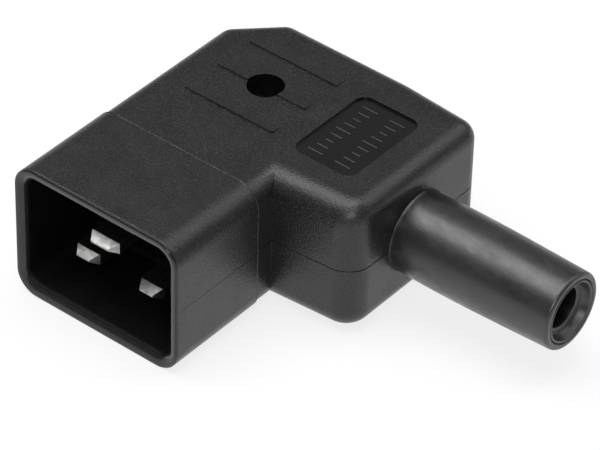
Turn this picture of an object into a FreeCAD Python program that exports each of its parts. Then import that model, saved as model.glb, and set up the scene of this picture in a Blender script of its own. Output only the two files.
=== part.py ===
import FreeCAD, Part
import math
import os
from types import SimpleNamespace

import Sketcher
from FreeCAD import Vector

# A rewirable C20-type plug with a side cord exit: three flat pins in a shroud, a cover in two
# halves split at mid height, and a bend-relief sleeve at the cord exit.
#
# Frame: the origin is on the mating axis in the plane of the shroud's mouth. +Y runs from the
# mouth to the back of the cover, +X towards the cord exit, +Z up. The cover splits at Z = 0.
# All sizes are in millimetres.

SIZES = {
    # Shroud: one moulding with the base that carries the pins.
    "shroud_width": 33.0,
    "shroud_height": 25.0,
    "shroud_length": 19.7,
    "shroud_round": 4.1,
    "shroud_side_wall": 1.9,
    "shroud_flat_wall": 2.2,
    "recess_depth": 17.3,
    "recess_round": 2.3,
    "lead_in": 0.7,
    "rim_bevel": 0.35,
    # Stub of the shroud, which the cover grips.
    "stub_length": 6.0,
    "stub_round": 1.5,
    "stub_groove_start": 2.0,
    "stub_groove_width": 1.6,
    "stub_groove_depth": 1.0,
    # Pins.
    "pin_thickness": 2.0,
    "pole_spacing": 13.0,
    "row_spacing": 8.0,
    "pole_width": 4.7,
    "pole_setback": 4.5,
    "pole_bevel": 1.7,
    "pole_side_bevel": 1.9,
    "earth_width": 5.6,
    "earth_setback": 1.2,
    "earth_bevel": 2.2,
    "earth_side_bevel": 2.2,
    "tip_thickness": 0.35,
    "tip_side_inset": 0.9,
    # Terminals on the pins' rear ends.
    "terminal_width": 7.0,
    "terminal_height": 6.0,
    "terminal_length": 8.0,
    "terminal_headroom": 1.1,
    "wire_hole_radius": 1.8,
    "wire_hole_depth": 5.6,
    # Cover.
    "neck_inset": 0.4,
    "block_front": 23.2,
    "block_front_right": 24.3,
    "block_right": 31.5,
    "block_back": 57.3,
    "block_back_right": 56.1,
    "corner_cut": 7.8,
    "cover_wall": 2.0,
    "cover_round": 3.3,
    "front_corner_round": 4.5,
    "seam_chamfer": 0.15,
    "lip_height": 0.8,
    "lip_thickness": 0.9,
    "root": 0.5,
    # Grip ridges on both flat faces.
    "ridge_left": 9.3,
    "ridge_right": 8.6,
    "ridge_start": 32.0,
    "ridge_pitch": 7.95,
    "ridge_height": 0.4,
    "ridge_run": 2.3,
    # Bare label recess in the upper face.
    "label_left": 13.0,
    "label_right": 24.9,
    "label_front": 31.1,
    "label_back": 49.2,
    "label_round": 2.0,
    "label_depth": 0.4,
    # Screw that holds the halves together, and its nut.
    "screw_y": 40.8,
    "access_radius": 3.075,
    "boss_wall": 1.2,
    "head_seat_level": 3.0,
    "nut_seat_depth": 7.2,
    "nut_width": 5.5,
    "nut_height": 2.4,
    "cover_screw_radius": 1.5,
    "cover_screw_reach": 9.9,
    "cover_head_radius": 2.75,
    "cover_head_height": 2.2,
    # Bend-relief sleeve at the cord exit.
    "sleeve_y": 39.95,
    "sleeve_reach": 30.1,
    "sleeve_radius": 6.85,
    "sleeve_bore_radius": 3.35,
    "sleeve_mouth_radius": 5.5,
    "sleeve_mouth_depth": 1.6,
    "sleeve_edge_bevel": 0.5,
    "sleeve_flange_radius": 9.0,
    "sleeve_flange_width": 1.9,
    "sleeve_tail_radius": 6.1,
    "sleeve_tail_length": 1.6,
    "collar_width": 1.5,
    "collar_half_span": 10.6,
    # Cord clamp.
    "clamp_x": 20.3,
    "clamp_width": 6.0,
    "clamp_screw_offset": 8.0,
    "clamp_half_span": 11.3,
    "clamp_seat_level": 1.0,
    "clamp_thickness": 5.0,
    "clamp_corner_round": 1.5,
    "clamp_saddle_radius": 3.6,
    "cord_rest_half_span": 6.0,
    "cord_rest_drop": 1.2,
    "clamp_post_radius": 3.0,
    # Small screws: terminals and cord clamp.
    "small_screw_radius": 1.5,
    "small_head_radius": 2.5,
    "small_head_height": 2.0,
    "terminal_screw_reach": 2.6,
    "clamp_screw_reach": 12.5,
    "screw_slot_width": 0.8,
    "screw_slot_depth": 1.0,
    # Clearances between pieces that fit together.
    "fit": 0.1,
    "pin_fit": 0.05,
    "thread_fit": 0.05,
    "screw_hole_fit": 0.2,
    "sleeve_gap": 0.2,
}

TOUCH = 1e-4
DIAGONAL = math.sqrt(2) - 1


class Dim:
    """A length: its value, and the sheet expression that a feature is bound to."""

    def __init__(self, value, text):
        self.value = value
        self.text = text

    @staticmethod
    def of(other):
        return other if isinstance(other, Dim) else Dim(float(other), repr(float(other)))

    def join(self, sign, other, value):
        return Dim(value, f"({self.text} {sign} {other.text})")

    def __add__(self, other):
        other = Dim.of(other)
        return self.join("+", other, self.value + other.value)

    def __sub__(self, other):
        other = Dim.of(other)
        return self.join("-", other, self.value - other.value)

    def __mul__(self, other):
        other = Dim.of(other)
        return self.join("*", other, self.value * other.value)

    def __truediv__(self, other):
        other = Dim.of(other)
        return self.join("/", other, self.value / other.value)

    def __neg__(self):
        return self * -1


doc = FreeCAD.newDocument("AngledPlug")
sheet = doc.addObject("Spreadsheet::Sheet", "Sizes")
for row, (name, value) in enumerate(SIZES.items(), start=1):
    sheet.set(f"A{row}", name)
    sheet.set(f"B{row}", str(value))
    sheet.setAlias(f"B{row}", name)
doc.recompute()
s = SimpleNamespace(**{name: Dim(float(sheet.get(name)), f"Sizes.{name}") for name in SIZES})
ZERO = Dim.of(0)


# ---- drawing and feature helpers ----

def bind(thing, prop, length):
    """Tie one property to the sheet."""
    thing.setExpression(prop, Dim.of(length).text)


def new_body(label, x=ZERO, y=ZERO, z=ZERO):
    """Start a sub-part whose own origin stands at a place in the plug's frame."""
    body = doc.addObject("PartDesign::Body", label)
    body.Label = label
    for axis, length in zip("xyz", (x, y, z)):
        bind(body, f"Placement.Base.{axis}", length)
    return body


def circle(x, y, radius):
    """A round loop for a sketch."""
    return SimpleNamespace(x=Dim.of(x), y=Dim.of(y), radius=Dim.of(radius))


def rectangle(left, right, low, high):
    """A four-sided loop for a sketch."""
    return [(left, low), (right, low), (right, high), (left, high)]


def sketch(body, role, loops, offset=ZERO):
    """Draw closed loops on one of the body's planes, each point bound to the sheet."""
    plane = next(item for item in body.Origin.OriginFeatures if item.Role == role)
    drawing = body.newObject("Sketcher::SketchObject", "Sketch")
    drawing.AttachmentSupport = [(plane, "")]
    drawing.MapMode = "FlatFace"
    bind(drawing, "AttachmentOffset.Base.z", offset)
    for loop in loops:
        if isinstance(loop, list):
            draw_polygon(drawing, loop)
        else:
            draw_circle(drawing, loop)
    return drawing


def hold(drawing, kind, geometry, point, length):
    """Hold one point of a sketch at a bound distance from the sketch's origin."""
    length = Dim.of(length)
    index = drawing.addConstraint(
        Sketcher.Constraint(kind, -1, 1, geometry, point, length.value))
    drawing.setExpression(f"Constraints[{index}]", length.text)


def draw_polygon(drawing, points):
    """Add a closed polygon of bound points to a sketch."""
    points = [(Dim.of(x), Dim.of(y)) for x, y in points]
    spots = [Vector(x.value, y.value, 0) for x, y in points]
    first = drawing.GeometryCount
    for start, end in zip(spots, spots[1:] + spots[:1]):
        drawing.addGeometry(Part.LineSegment(start, end), False)
    for number, (x, y) in enumerate(points):
        line = first + number
        after = first + (number + 1) % len(points)
        drawing.addConstraint(Sketcher.Constraint("Coincident", line, 2, after, 1))
        hold(drawing, "DistanceX", line, 1, x)
        hold(drawing, "DistanceY", line, 1, y)


def draw_circle(drawing, loop):
    """Add a bound circle to a sketch."""
    centre = Vector(loop.x.value, loop.y.value, 0)
    ring = drawing.addGeometry(Part.Circle(centre, Vector(0, 0, 1), loop.radius.value), False)
    hold(drawing, "DistanceX", ring, 3, loop.x)
    hold(drawing, "DistanceY", ring, 3, loop.y)
    index = drawing.addConstraint(Sketcher.Constraint("Radius", ring, loop.radius.value))
    drawing.setExpression(f"Constraints[{index}]", loop.radius.text)


def volume(body):
    """The volume of what the body holds so far."""
    return body.Tip.Shape.Volume if body.Tip else 0.0


def finish(body, feature, before, grows):
    """Make a feature the body's tip and see that it changed the solid the right way."""
    body.Tip = feature
    doc.recompute()
    change = volume(body) - before
    if (change > 0) != grows or abs(change) < TOUCH:
        raise RuntimeError(f"{body.Label}: {feature.Name} changed the volume by {change:.4f}")


def extrude(body, kind, drawing, length, back, both):
    """Pad or pocket a sketch."""
    before = volume(body)
    feature = body.newObject(kind, kind.split("::")[1])
    feature.Profile = drawing
    feature.Reversed = back
    feature.Midplane = both
    bind(feature, "Length", length)
    finish(body, feature, before, grows=kind.endswith("Pad"))


def pad(body, role, loops, length, offset=ZERO, back=False, both=False):
    """Add the drawn loops as a solid along the plane's normal, or against it."""
    drawing = sketch(body, role, loops, offset)
    extrude(body, "PartDesign::Pad", drawing, length, back, both)


def pocket(body, role, loops, length, offset=ZERO, back=False, both=False):
    """Cut the drawn loops against the plane's normal, or along it."""
    drawing = sketch(body, role, loops, offset)
    extrude(body, "PartDesign::Pocket", drawing, length, back, both)


def revolve(body, role, loop, axis):
    """Turn a drawn loop round one axis of its sketch."""
    drawing = sketch(body, role, [loop])
    feature = body.newObject("PartDesign::Revolution", "Revolution")
    feature.Profile = drawing
    feature.ReferenceAxis = (drawing, [axis])
    feature.Angle = 360.0
    finish(body, feature, 0.0, grows=True)


def lies_at(edge, **place):
    """Whether a whole edge keeps the given coordinates, such as x and y of an upright edge."""
    first, last = edge.ParameterRange
    spots = [edge.valueAt(first + (last - first) * share) for share in (0.0, 0.5, 1.0)]
    return all(abs(getattr(spot, axis) - Dim.of(length).value) < TOUCH
               for spot in spots for axis, length in place.items())


def dress(body, kind, prop, length, wanted):
    """Put a fillet or chamfer on the wanted edges of the body's tip."""
    base = body.Tip
    names = [f"Edge{number}" for number, edge in enumerate(base.Shape.Edges, start=1)
             if wanted(edge)]
    if not names:
        raise RuntimeError(f"{body.Label}: no edge found for a {kind}")
    feature = body.newObject(kind, kind.split("::")[1])
    feature.Base = (base, names)
    bind(feature, prop, length)
    body.Tip = feature
    doc.recompute()
    if "Invalid" in feature.State:
        raise RuntimeError(f"{body.Label}: {feature.Name} failed on {names}")


def fillet(body, radius, wanted):
    dress(body, "PartDesign::Fillet", "Radius", radius, wanted)


def chamfer(body, size, wanted):
    dress(body, "PartDesign::Chamfer", "Size", size, wanted)


# ---- places that several pieces share ----

pole_x = s.pole_spacing / 2
row_z = s.row_spacing / 2
neck_half_width = s.shroud_width / 2 - s.neck_inset
cover_top = s.shroud_height / 2 - s.neck_inset
ceiling = cover_top - s.cover_wall
stub_half_width = neck_half_width - s.cover_wall - s.fit
stub_half_height = ceiling - s.fit
stub_end = s.shroud_length + s.stub_length
groove_start = s.shroud_length + s.stub_groove_start
inner_right = s.block_right - s.cover_wall
flange_start = inner_right - s.fit - s.sleeve_flange_width
collar_start = flange_start - s.fit - s.collar_width
sleeve_end = s.block_right + s.sleeve_reach
boss_radius = s.access_radius + s.boss_wall
front_slope = (s.block_front_right - s.block_front) / (s.block_right - neck_half_width)
back_slope = (s.block_back - s.block_back_right) / (s.block_right - neck_half_width)
terminal_middle = stub_end + s.terminal_length / 2
earth_seat = ceiling - s.terminal_headroom - s.small_head_height
pole_seat = s.terminal_height / 2 - row_z
small_hole_radius = s.small_screw_radius + s.screw_hole_fit


# ---- shroud and pins ----

def pin_shroud():
    """The shroud, its base with the pin slots, and the grooved stub behind it."""
    body = new_body("pin_shroud")
    half_width = s.shroud_width / 2
    half_height = s.shroud_height / 2
    outer = rectangle(-half_width, half_width, -half_height, half_height)
    pad(body, "XZ_Plane", [outer], s.shroud_length, back=True)
    for x in (-half_width, half_width):
        fillet(body, s.shroud_round,
               lambda edge: lies_at(edge, x=x, z=half_height) or lies_at(edge, x=x, z=-half_height))
    chamfer(body, s.rim_bevel, lambda edge: lies_at(edge, y=0))

    stub = rectangle(-stub_half_width, stub_half_width, -stub_half_height, stub_half_height)
    pad(body, "XZ_Plane", [stub], s.stub_length, offset=-s.shroud_length, back=True)
    for x in (-stub_half_width, stub_half_width):
        fillet(body, s.stub_round,
               lambda edge: lies_at(edge, x=x, z=stub_half_height)
               or lies_at(edge, x=x, z=-stub_half_height))
    floor_x = stub_half_width - s.stub_groove_depth
    floor_z = stub_half_height - s.stub_groove_depth
    pocket(body, "XZ_Plane", [stub, rectangle(-floor_x, floor_x, -floor_z, floor_z)],
           s.stub_groove_width, offset=-groove_start)

    recess_x = half_width - s.shroud_side_wall
    recess_z = half_height - s.shroud_flat_wall
    pocket(body, "XZ_Plane", [rectangle(-recess_x, recess_x, -recess_z, recess_z)], s.recess_depth)
    for x in (-recess_x, recess_x):
        fillet(body, s.recess_round,
               lambda edge: lies_at(edge, x=x, z=recess_z) or lies_at(edge, x=x, z=-recess_z))
    chamfer(body, s.lead_in, lambda edge: lies_at(edge, y=0) and inside(edge, recess_x, recess_z))

    slots = [pin_slot(x, z, width) for x, z, width in (
        (-pole_x, -row_z, s.pole_width), (pole_x, -row_z, s.pole_width),
        (ZERO, row_z, s.earth_width))]
    pocket(body, "XZ_Plane", slots, stub_end - s.recess_depth, offset=-s.recess_depth)


def inside(edge, half_width, half_height):
    """Whether an edge in the mouth plane belongs to the recess and not to the outer rim."""
    first, last = edge.ParameterRange
    spot = edge.valueAt((first + last) / 2)
    return abs(spot.x) < half_width.value + TOUCH and abs(spot.z) < half_height.value + TOUCH


def pin_slot(x, z, width):
    half_width = width / 2 + s.pin_fit
    half_height = s.pin_thickness / 2 + s.pin_fit
    return rectangle(x - half_width, x + half_width, z - half_height, z + half_height)


def pin(label, x, z, width, setback, bevel, side_bevel, seat, wire_from_side):
    """A flat pin with a chisel tip, and a pillar terminal behind the shroud's base.

    The terminal's top, where its screw's head seats, is at the level of seat.
    """
    body = new_body(label, x=x, z=z)
    half = s.pin_thickness / 2
    half_tip = s.tip_thickness / 2
    side_view = [
        (setback, -half_tip), (setback + bevel, -half), (stub_end, -half),
        (stub_end, half), (setback + bevel, half), (setback, half_tip),
    ]
    pad(body, "YZ_Plane", [side_view], width, both=True)
    inner = width / 2 - s.tip_side_inset
    for side in (1, -1):
        corner = [
            (inner * side, setback),
            (width / 2 * side, setback + side_bevel),
            ((width / 2 + s.tip_side_inset) * side, setback + side_bevel),
            ((width / 2 + s.tip_side_inset) * side, setback - s.tip_side_inset),
            (inner * side, setback - s.tip_side_inset),
        ]
        pocket(body, "XY_Plane", [corner], s.pin_thickness * 2, both=True)

    block_x = s.terminal_width / 2
    top = seat - z
    middle_z = top - s.terminal_height / 2
    pad(body, "XZ_Plane", [rectangle(-block_x, block_x, top - s.terminal_height, top)],
        s.terminal_length, offset=-stub_end, back=True)
    if wire_from_side:
        pocket(body, "YZ_Plane", [circle(terminal_middle, middle_z, s.wire_hole_radius)],
               s.wire_hole_depth, offset=block_x)
    else:
        pocket(body, "XZ_Plane", [circle(0, middle_z, s.wire_hole_radius)], s.wire_hole_depth,
               offset=-(stub_end + s.terminal_length), back=True)
    pocket(body, "XY_Plane", [circle(0, terminal_middle, s.small_screw_radius + s.thread_fit)],
           s.terminal_height / 2, offset=top)


def pins():
    """The two poles in the lower row and the longer earth pin in the upper row."""
    for label, x in (("line_pin", pole_x), ("neutral_pin", -pole_x)):
        pin(label, x, -row_z, s.pole_width, s.pole_setback, s.pole_bevel, s.pole_side_bevel,
            pole_seat, wire_from_side=False)
    pin("earth_pin", ZERO, row_z, s.earth_width, s.earth_setback, s.earth_bevel,
        s.earth_side_bevel, earth_seat, wire_from_side=True)


# ---- screws and nut ----

def slotted_screw(label, x, y, z, reach, radius, head_radius, head_height):
    """A cheese-head screw that points down, with its origin under the head."""
    body = new_body(label, x=x, y=y, z=z)
    profile = [
        (0, -reach), (radius, -reach), (radius, 0),
        (head_radius, 0), (head_radius, head_height), (0, head_height),
    ]
    revolve(body, "XZ_Plane", profile, "V_Axis")
    slot = rectangle(-head_radius * 2, head_radius * 2,
                     -(s.screw_slot_width / 2), s.screw_slot_width / 2)
    pocket(body, "XY_Plane", [slot], s.screw_slot_depth, offset=head_height)


def small_screws():
    """The terminal screws on the pins and the two screws of the cord clamp."""
    head = (s.small_screw_radius, s.small_head_radius, s.small_head_height)
    for label, x, seat in (("line_terminal_screw", pole_x, pole_seat),
                           ("neutral_terminal_screw", -pole_x, pole_seat),
                           ("earth_terminal_screw", ZERO, earth_seat)):
        slotted_screw(label, x, terminal_middle, seat, s.terminal_screw_reach, *head)
    clamp_top = s.clamp_seat_level + s.clamp_thickness
    for label, side in (("cord_clamp_screw_front", -1), ("cord_clamp_screw_rear", 1)):
        slotted_screw(label, s.clamp_x, s.sleeve_y + s.clamp_screw_offset * side, clamp_top,
                      s.clamp_screw_reach, *head)


def housing_screw():
    slotted_screw("housing_screw", ZERO, s.screw_y, s.head_seat_level,
                  s.head_seat_level + s.cover_screw_reach,
                  s.cover_screw_radius, s.cover_head_radius, s.cover_head_height)


def hexagon(x, y, width):
    """A hexagon measured across its flats."""
    corner = width / 2 / math.cos(math.pi / 6)
    turns = [math.pi / 3 * number for number in range(6)]
    return [(x + corner * math.cos(turn), y + corner * math.sin(turn)) for turn in turns]


def housing_nut():
    body = new_body("housing_nut", y=s.screw_y, z=-s.nut_seat_depth)
    hole = circle(0, 0, s.cover_screw_radius + s.thread_fit)
    pad(body, "XY_Plane", [hexagon(ZERO, ZERO, s.nut_width), hole], s.nut_height, back=True)


# ---- cover ----

def plan(inset, front):
    """The cover's outline from above, drawn in by an inset, from the neck's front left corner.

    Beside the neck, the block's front and back walls close in on each other towards the cord.
    """
    left = inset - neck_half_width
    right = s.block_right - inset
    back = s.block_back - inset
    cut = s.corner_cut + inset * DIAGONAL
    front_inset = inset - front_slope * inset
    back_inset = inset - back_slope * inset
    return [
        (left, front), (-left, front), (-left, s.block_front + front_inset),
        (right, s.block_front_right + front_inset), (right, s.block_back_right - back_inset),
        (neck_half_width, back), (cut - neck_half_width, back), (left, s.block_back - cut),
    ]


def cover_half(label, side):
    """The shell that both halves share: side is 1 above the split and -1 below it."""
    body = new_body(label)
    lower = side < 0
    top = cover_top * side
    inner = ceiling * side
    outline = plan(ZERO, s.shroud_length)
    pad(body, "XY_Plane", [outline], cover_top, back=lower)
    x, y = outline[3]
    fillet(body, s.front_corner_round, lambda edge: lies_at(edge, x=x, y=y))
    rear_corners = [outline[number] for number in (4, 6, 7)]
    fillet(body, s.cover_round,
           lambda edge: any(lies_at(edge, x=x, y=y) for x, y in rear_corners)
           or (lies_at(edge, z=top) and not lies_at(edge, y=s.shroud_length)))
    chamfer(body, s.seam_chamfer,
            lambda edge: lies_at(edge, z=0) and not lies_at(edge, y=s.shroud_length))

    ridges = []
    for number in range(3):
        start = s.ridge_start + s.ridge_pitch * number
        ridges.append([
            (start, inner), (start, (cover_top + s.ridge_height) * side),
            (start + s.ridge_run, top), (start + s.ridge_run, inner),
        ])
    pad(body, "YZ_Plane", ridges, s.ridge_left + s.ridge_right, offset=-s.ridge_left)

    cavity = plan(s.cover_wall, s.shroud_length - s.cover_wall)
    pocket(body, "XY_Plane", [cavity], ceiling, back=not lower)
    for number, outer_round in ((3, s.front_corner_round), (4, s.cover_round)):
        x, y = cavity[number]
        fillet(body, outer_round - s.cover_wall, lambda edge: lies_at(edge, x=x, y=y))

    neck_rib(body, side)
    pad(body, "XY_Plane", [circle(0, s.screw_y, boss_radius)], ceiling + s.root, back=lower)
    collar = rectangle(s.sleeve_y - s.collar_half_span, s.sleeve_y + s.collar_half_span,
                       ZERO, (ceiling + s.root) * side)
    pad(body, "YZ_Plane", [collar], s.collar_width, offset=collar_start)
    return body


def neck_rib(body, side):
    """The rib inside the neck that sits in the groove of the shroud's stub."""
    outer_x = stub_half_width + s.fit + s.root
    outer_z = (ceiling + s.root) * side
    inner_x = stub_half_width - s.stub_groove_depth + s.fit
    inner_z = (stub_half_height - s.stub_groove_depth + s.fit) * side
    rib = [
        (-outer_x, 0), (-inner_x, 0), (-inner_x, inner_z), (inner_x, inner_z),
        (inner_x, 0), (outer_x, 0), (outer_x, outer_z), (-outer_x, outer_z),
    ]
    pad(body, "XZ_Plane", [rib], s.stub_groove_width - s.fit * 2,
        offset=-(groove_start + s.fit), back=True)


def lip_band(gap):
    """The band along the walls where the lower half's lip stands, widened by a gap."""
    sides = []
    for inset in (s.cover_wall - s.lip_thickness - gap, s.cover_wall + gap):
        points = plan(inset, stub_end)
        right, low = points[3]
        high = points[4][1]
        front_cut = (s.front_corner_round - inset) * (1 - DIAGONAL)
        back_cut = (s.cover_round - inset) * (1 - DIAGONAL)
        sides.append([
            points[0], points[7], points[6], points[5],
            (right - back_cut, high + back_slope * back_cut), (right, high - back_cut),
            (right, low + front_cut), (right - front_cut, low - front_slope * front_cut),
            (neck_half_width, s.block_front + inset),
        ])
    outer, inner = sides
    return outer + inner[::-1]


def sleeve_opening(body):
    """The round hole in the wall for the sleeve, and the smaller one in the collar inside."""
    pocket(body, "YZ_Plane", [circle(s.sleeve_y, 0, s.sleeve_radius + s.sleeve_gap)],
           s.cover_wall + s.fit * 2, offset=s.block_right + s.fit)
    pocket(body, "YZ_Plane", [circle(s.sleeve_y, 0, s.sleeve_tail_radius + s.fit)],
           s.collar_width + s.fit * 2, offset=collar_start + s.collar_width + s.fit)


def upper_housing():
    """The top half: access hole for the screw, bare label recess, rebate for the lip."""
    body = cover_half("upper_housing", 1)
    pocket(body, "XY_Plane", [lip_band(s.fit)], s.lip_height + s.fit, back=True)
    sleeve_opening(body)
    outside = cover_top + s.ridge_height
    pocket(body, "XY_Plane", [circle(0, s.screw_y, s.access_radius)],
           outside - s.head_seat_level, offset=outside)
    pocket(body, "XY_Plane", [circle(0, s.screw_y, s.cover_screw_radius + s.screw_hole_fit)],
           s.head_seat_level, back=True)
    label = rectangle(s.label_left, s.label_right, s.label_front, s.label_back)
    pocket(body, "XY_Plane", [label], s.label_depth, offset=cover_top)
    for x, y in label:
        fillet(body, s.label_round, lambda edge: lies_at(edge, x=x, y=y))


def lower_housing():
    """The bottom half: lip, nut pocket, posts for the clamp's screws and rest for the cord."""
    body = cover_half("lower_housing", -1)
    pad(body, "XY_Plane", [lip_band(ZERO)], s.lip_height + s.root, offset=-s.root)
    sleeve_opening(body)
    outside = cover_top + s.ridge_height
    pocket(body, "XY_Plane", [hexagon(ZERO, s.screw_y, s.nut_width + s.fit * 2)],
           outside - s.nut_seat_depth, offset=-outside, back=True)
    pocket(body, "XY_Plane", [circle(0, s.screw_y, s.cover_screw_radius + s.screw_hole_fit)],
           s.nut_seat_depth)

    rest = rectangle(s.clamp_x - s.clamp_width / 2, s.clamp_x + s.clamp_width / 2,
                     s.sleeve_y - s.cord_rest_half_span, s.sleeve_y + s.cord_rest_half_span)
    pad(body, "XY_Plane", [rest], ceiling + s.root - s.cord_rest_drop,
        offset=-s.cord_rest_drop, back=True)
    screws = [(s.clamp_x, s.sleeve_y + s.clamp_screw_offset * side) for side in (-1, 1)]
    for x, y in screws:
        pad(body, "XY_Plane", [circle(x, y, s.clamp_post_radius)],
            s.clamp_seat_level + ceiling + s.root, offset=s.clamp_seat_level, back=True)
    pocket(body, "YZ_Plane", [circle(s.sleeve_y, 0, s.clamp_saddle_radius)],
           s.clamp_width + s.root, offset=s.clamp_x, both=True)
    depth = s.clamp_screw_reach - s.clamp_thickness + s.root
    pocket(body, "XY_Plane",
           [circle(x, y, s.small_screw_radius + s.thread_fit) for x, y in screws],
           depth, offset=s.clamp_seat_level)


# ---- cord exit ----

def bend_relief_sleeve():
    """The sleeve, turned about the cord's axis, with the flange that the cover traps."""
    body = new_body("bend_relief_sleeve", y=s.sleeve_y)
    flange_end = flange_start + s.sleeve_flange_width
    mouth_floor = sleeve_end - s.sleeve_mouth_depth
    tail = flange_start - s.sleeve_tail_length
    profile = [
        (tail, s.sleeve_bore_radius), (tail, s.sleeve_tail_radius),
        (flange_start, s.sleeve_tail_radius), (flange_start, s.sleeve_flange_radius),
        (flange_end, s.sleeve_flange_radius), (flange_end, s.sleeve_radius),
        (sleeve_end, s.sleeve_radius), (sleeve_end, s.sleeve_mouth_radius),
        (mouth_floor, s.sleeve_mouth_radius), (mouth_floor, s.sleeve_bore_radius),
    ]
    revolve(body, "XY_Plane", profile, "H_Axis")
    outside = s.sleeve_radius.value
    chamfer(body, s.sleeve_edge_bevel,
            lambda edge: lies_at(edge, x=sleeve_end) and abs(edge.Curve.Radius - outside) < TOUCH)


def cord_clamp_bar():
    """The bar across the cord, with a saddle below and a hole at each end."""
    body = new_body("cord_clamp_bar", x=s.clamp_x, y=s.sleeve_y)
    top = s.clamp_seat_level + s.clamp_thickness
    pad(body, "YZ_Plane", [rectangle(-s.clamp_half_span, s.clamp_half_span,
                                     s.clamp_seat_level, top)], s.clamp_width, both=True)
    for x in (-s.clamp_width / 2, s.clamp_width / 2):
        for y in (-s.clamp_half_span, s.clamp_half_span):
            fillet(body, s.clamp_corner_round, lambda edge: lies_at(edge, x=x, y=y))
    pocket(body, "YZ_Plane", [circle(0, 0, s.clamp_saddle_radius)], s.clamp_width * 2, both=True)
    holes = [circle(0, s.clamp_screw_offset * side, small_hole_radius) for side in (-1, 1)]
    pocket(body, "XY_Plane", holes, s.clamp_thickness, offset=top)


def check_document():
    """Stop if any object failed or any sub-part is not one valid solid."""
    for item in doc.Objects:
        if {"Invalid", "Error"} & set(item.State):
            raise RuntimeError(f"{item.Name} failed: {item.State}")
    for body in doc.findObjects("PartDesign::Body"):
        shape = body.Shape
        if shape.isNull() or not shape.isValid() or len(shape.Solids) != 1:
            raise RuntimeError(f"{body.Label} is not one valid solid")


def export_parts():
    """Write each sub-part to its own file."""
    os.makedirs("parts", exist_ok=True)
    for body in doc.findObjects("PartDesign::Body"):
        body.Shape.exportStep(f"parts/{body.Label}.step")


for build in (pin_shroud, pins, small_screws, housing_screw, housing_nut, upper_housing,
              lower_housing, bend_relief_sleeve, cord_clamp_bar):
    build()
check_document()
export_parts()
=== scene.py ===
"""Looks of a rewirable C20-type plug with a side cord exit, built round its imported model.

The plug's frame: the origin is on the mating axis in the plane of the shroud's mouth, +Y runs to
the back of the cover, +X to the cord exit and +Z up. Sizes in this file are in millimetres, and
each finished piece is scaled to metres once, when it is shown.
"""
import logging
import math
from collections.abc import Callable, Iterable, Sequence
from dataclasses import dataclass, field
from enum import Enum
from typing import Any

import bmesh
import bpy
from mathutils import Matrix, Vector


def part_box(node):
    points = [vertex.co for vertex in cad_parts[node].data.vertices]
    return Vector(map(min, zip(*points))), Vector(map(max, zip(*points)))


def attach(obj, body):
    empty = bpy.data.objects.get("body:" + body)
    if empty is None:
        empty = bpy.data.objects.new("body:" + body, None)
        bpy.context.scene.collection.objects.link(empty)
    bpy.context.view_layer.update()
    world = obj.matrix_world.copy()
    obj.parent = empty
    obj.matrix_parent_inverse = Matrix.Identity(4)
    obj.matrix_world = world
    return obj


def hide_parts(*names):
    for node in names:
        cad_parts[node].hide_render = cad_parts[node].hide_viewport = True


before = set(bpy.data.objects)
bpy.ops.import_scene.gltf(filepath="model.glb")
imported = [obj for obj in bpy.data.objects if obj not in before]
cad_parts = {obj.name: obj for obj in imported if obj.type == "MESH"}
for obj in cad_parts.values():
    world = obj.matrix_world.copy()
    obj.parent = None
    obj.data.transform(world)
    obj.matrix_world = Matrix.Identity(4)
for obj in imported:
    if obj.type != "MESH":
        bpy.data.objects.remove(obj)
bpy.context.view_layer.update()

MM = 0.001
MERGE_MM = 0.0005
ROUND_STEPS = 12
CIRCLE_FACETS = 64
HOLE_FACETS = 40
CLEARANCE = 1.0
LOG = logging.getLogger("plug")

Point = tuple[float, float]
Colour = tuple[float, float, float]
Region = Callable[[Vector, Vector], int]

WHITE = (1.0, 1.0, 1.0, 1.0)
POLE_X, POLE_Z, POLE_WIDTH = 6.5, -4.0, 4.7
EARTH_Z, EARTH_WIDTH = 4.0, 5.6


def node_box(name: str) -> tuple[Vector, Vector]:
    """A model node's lowest and highest corner, in millimetres."""
    low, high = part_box(name)
    return Vector(low) / MM, Vector(high) / MM


def node_middle(name: str) -> Vector:
    """The middle of a model node's box, in millimetres."""
    low, high = node_box(name)
    return (low + high) / 2


@dataclass(frozen=True)
class Places:
    """Places that several pieces share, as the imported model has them.

    Attributes:
        joint: where the shroud ends and the cover begins, along the mating axis.
        stub_end: where the shroud's stub ends inside the cover.
        wall: the cover's face that the cord leaves by.
        back: the cover's rear face.
        cord_y: the cord's axis.
        screw_y: the axis of the screw that joins the halves.
        clamp_x: the middle of the cord clamp.
        terminal_y: the axes of the terminal screws.
    """

    joint: float = node_box("upper_housing")[0].y
    stub_end: float = node_box("pin_shroud")[1].y
    wall: float = node_box("upper_housing")[1].x
    back: float = node_box("upper_housing")[1].y
    cord_y: float = node_middle("bend_relief_sleeve").y
    screw_y: float = node_middle("housing_screw").y
    clamp_x: float = node_middle("cord_clamp_bar").x
    terminal_y: float = node_middle("earth_terminal_screw").y


AT = Places()


# ---------------------------------------------------------------------------------------------
# Node trees
# ---------------------------------------------------------------------------------------------

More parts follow.
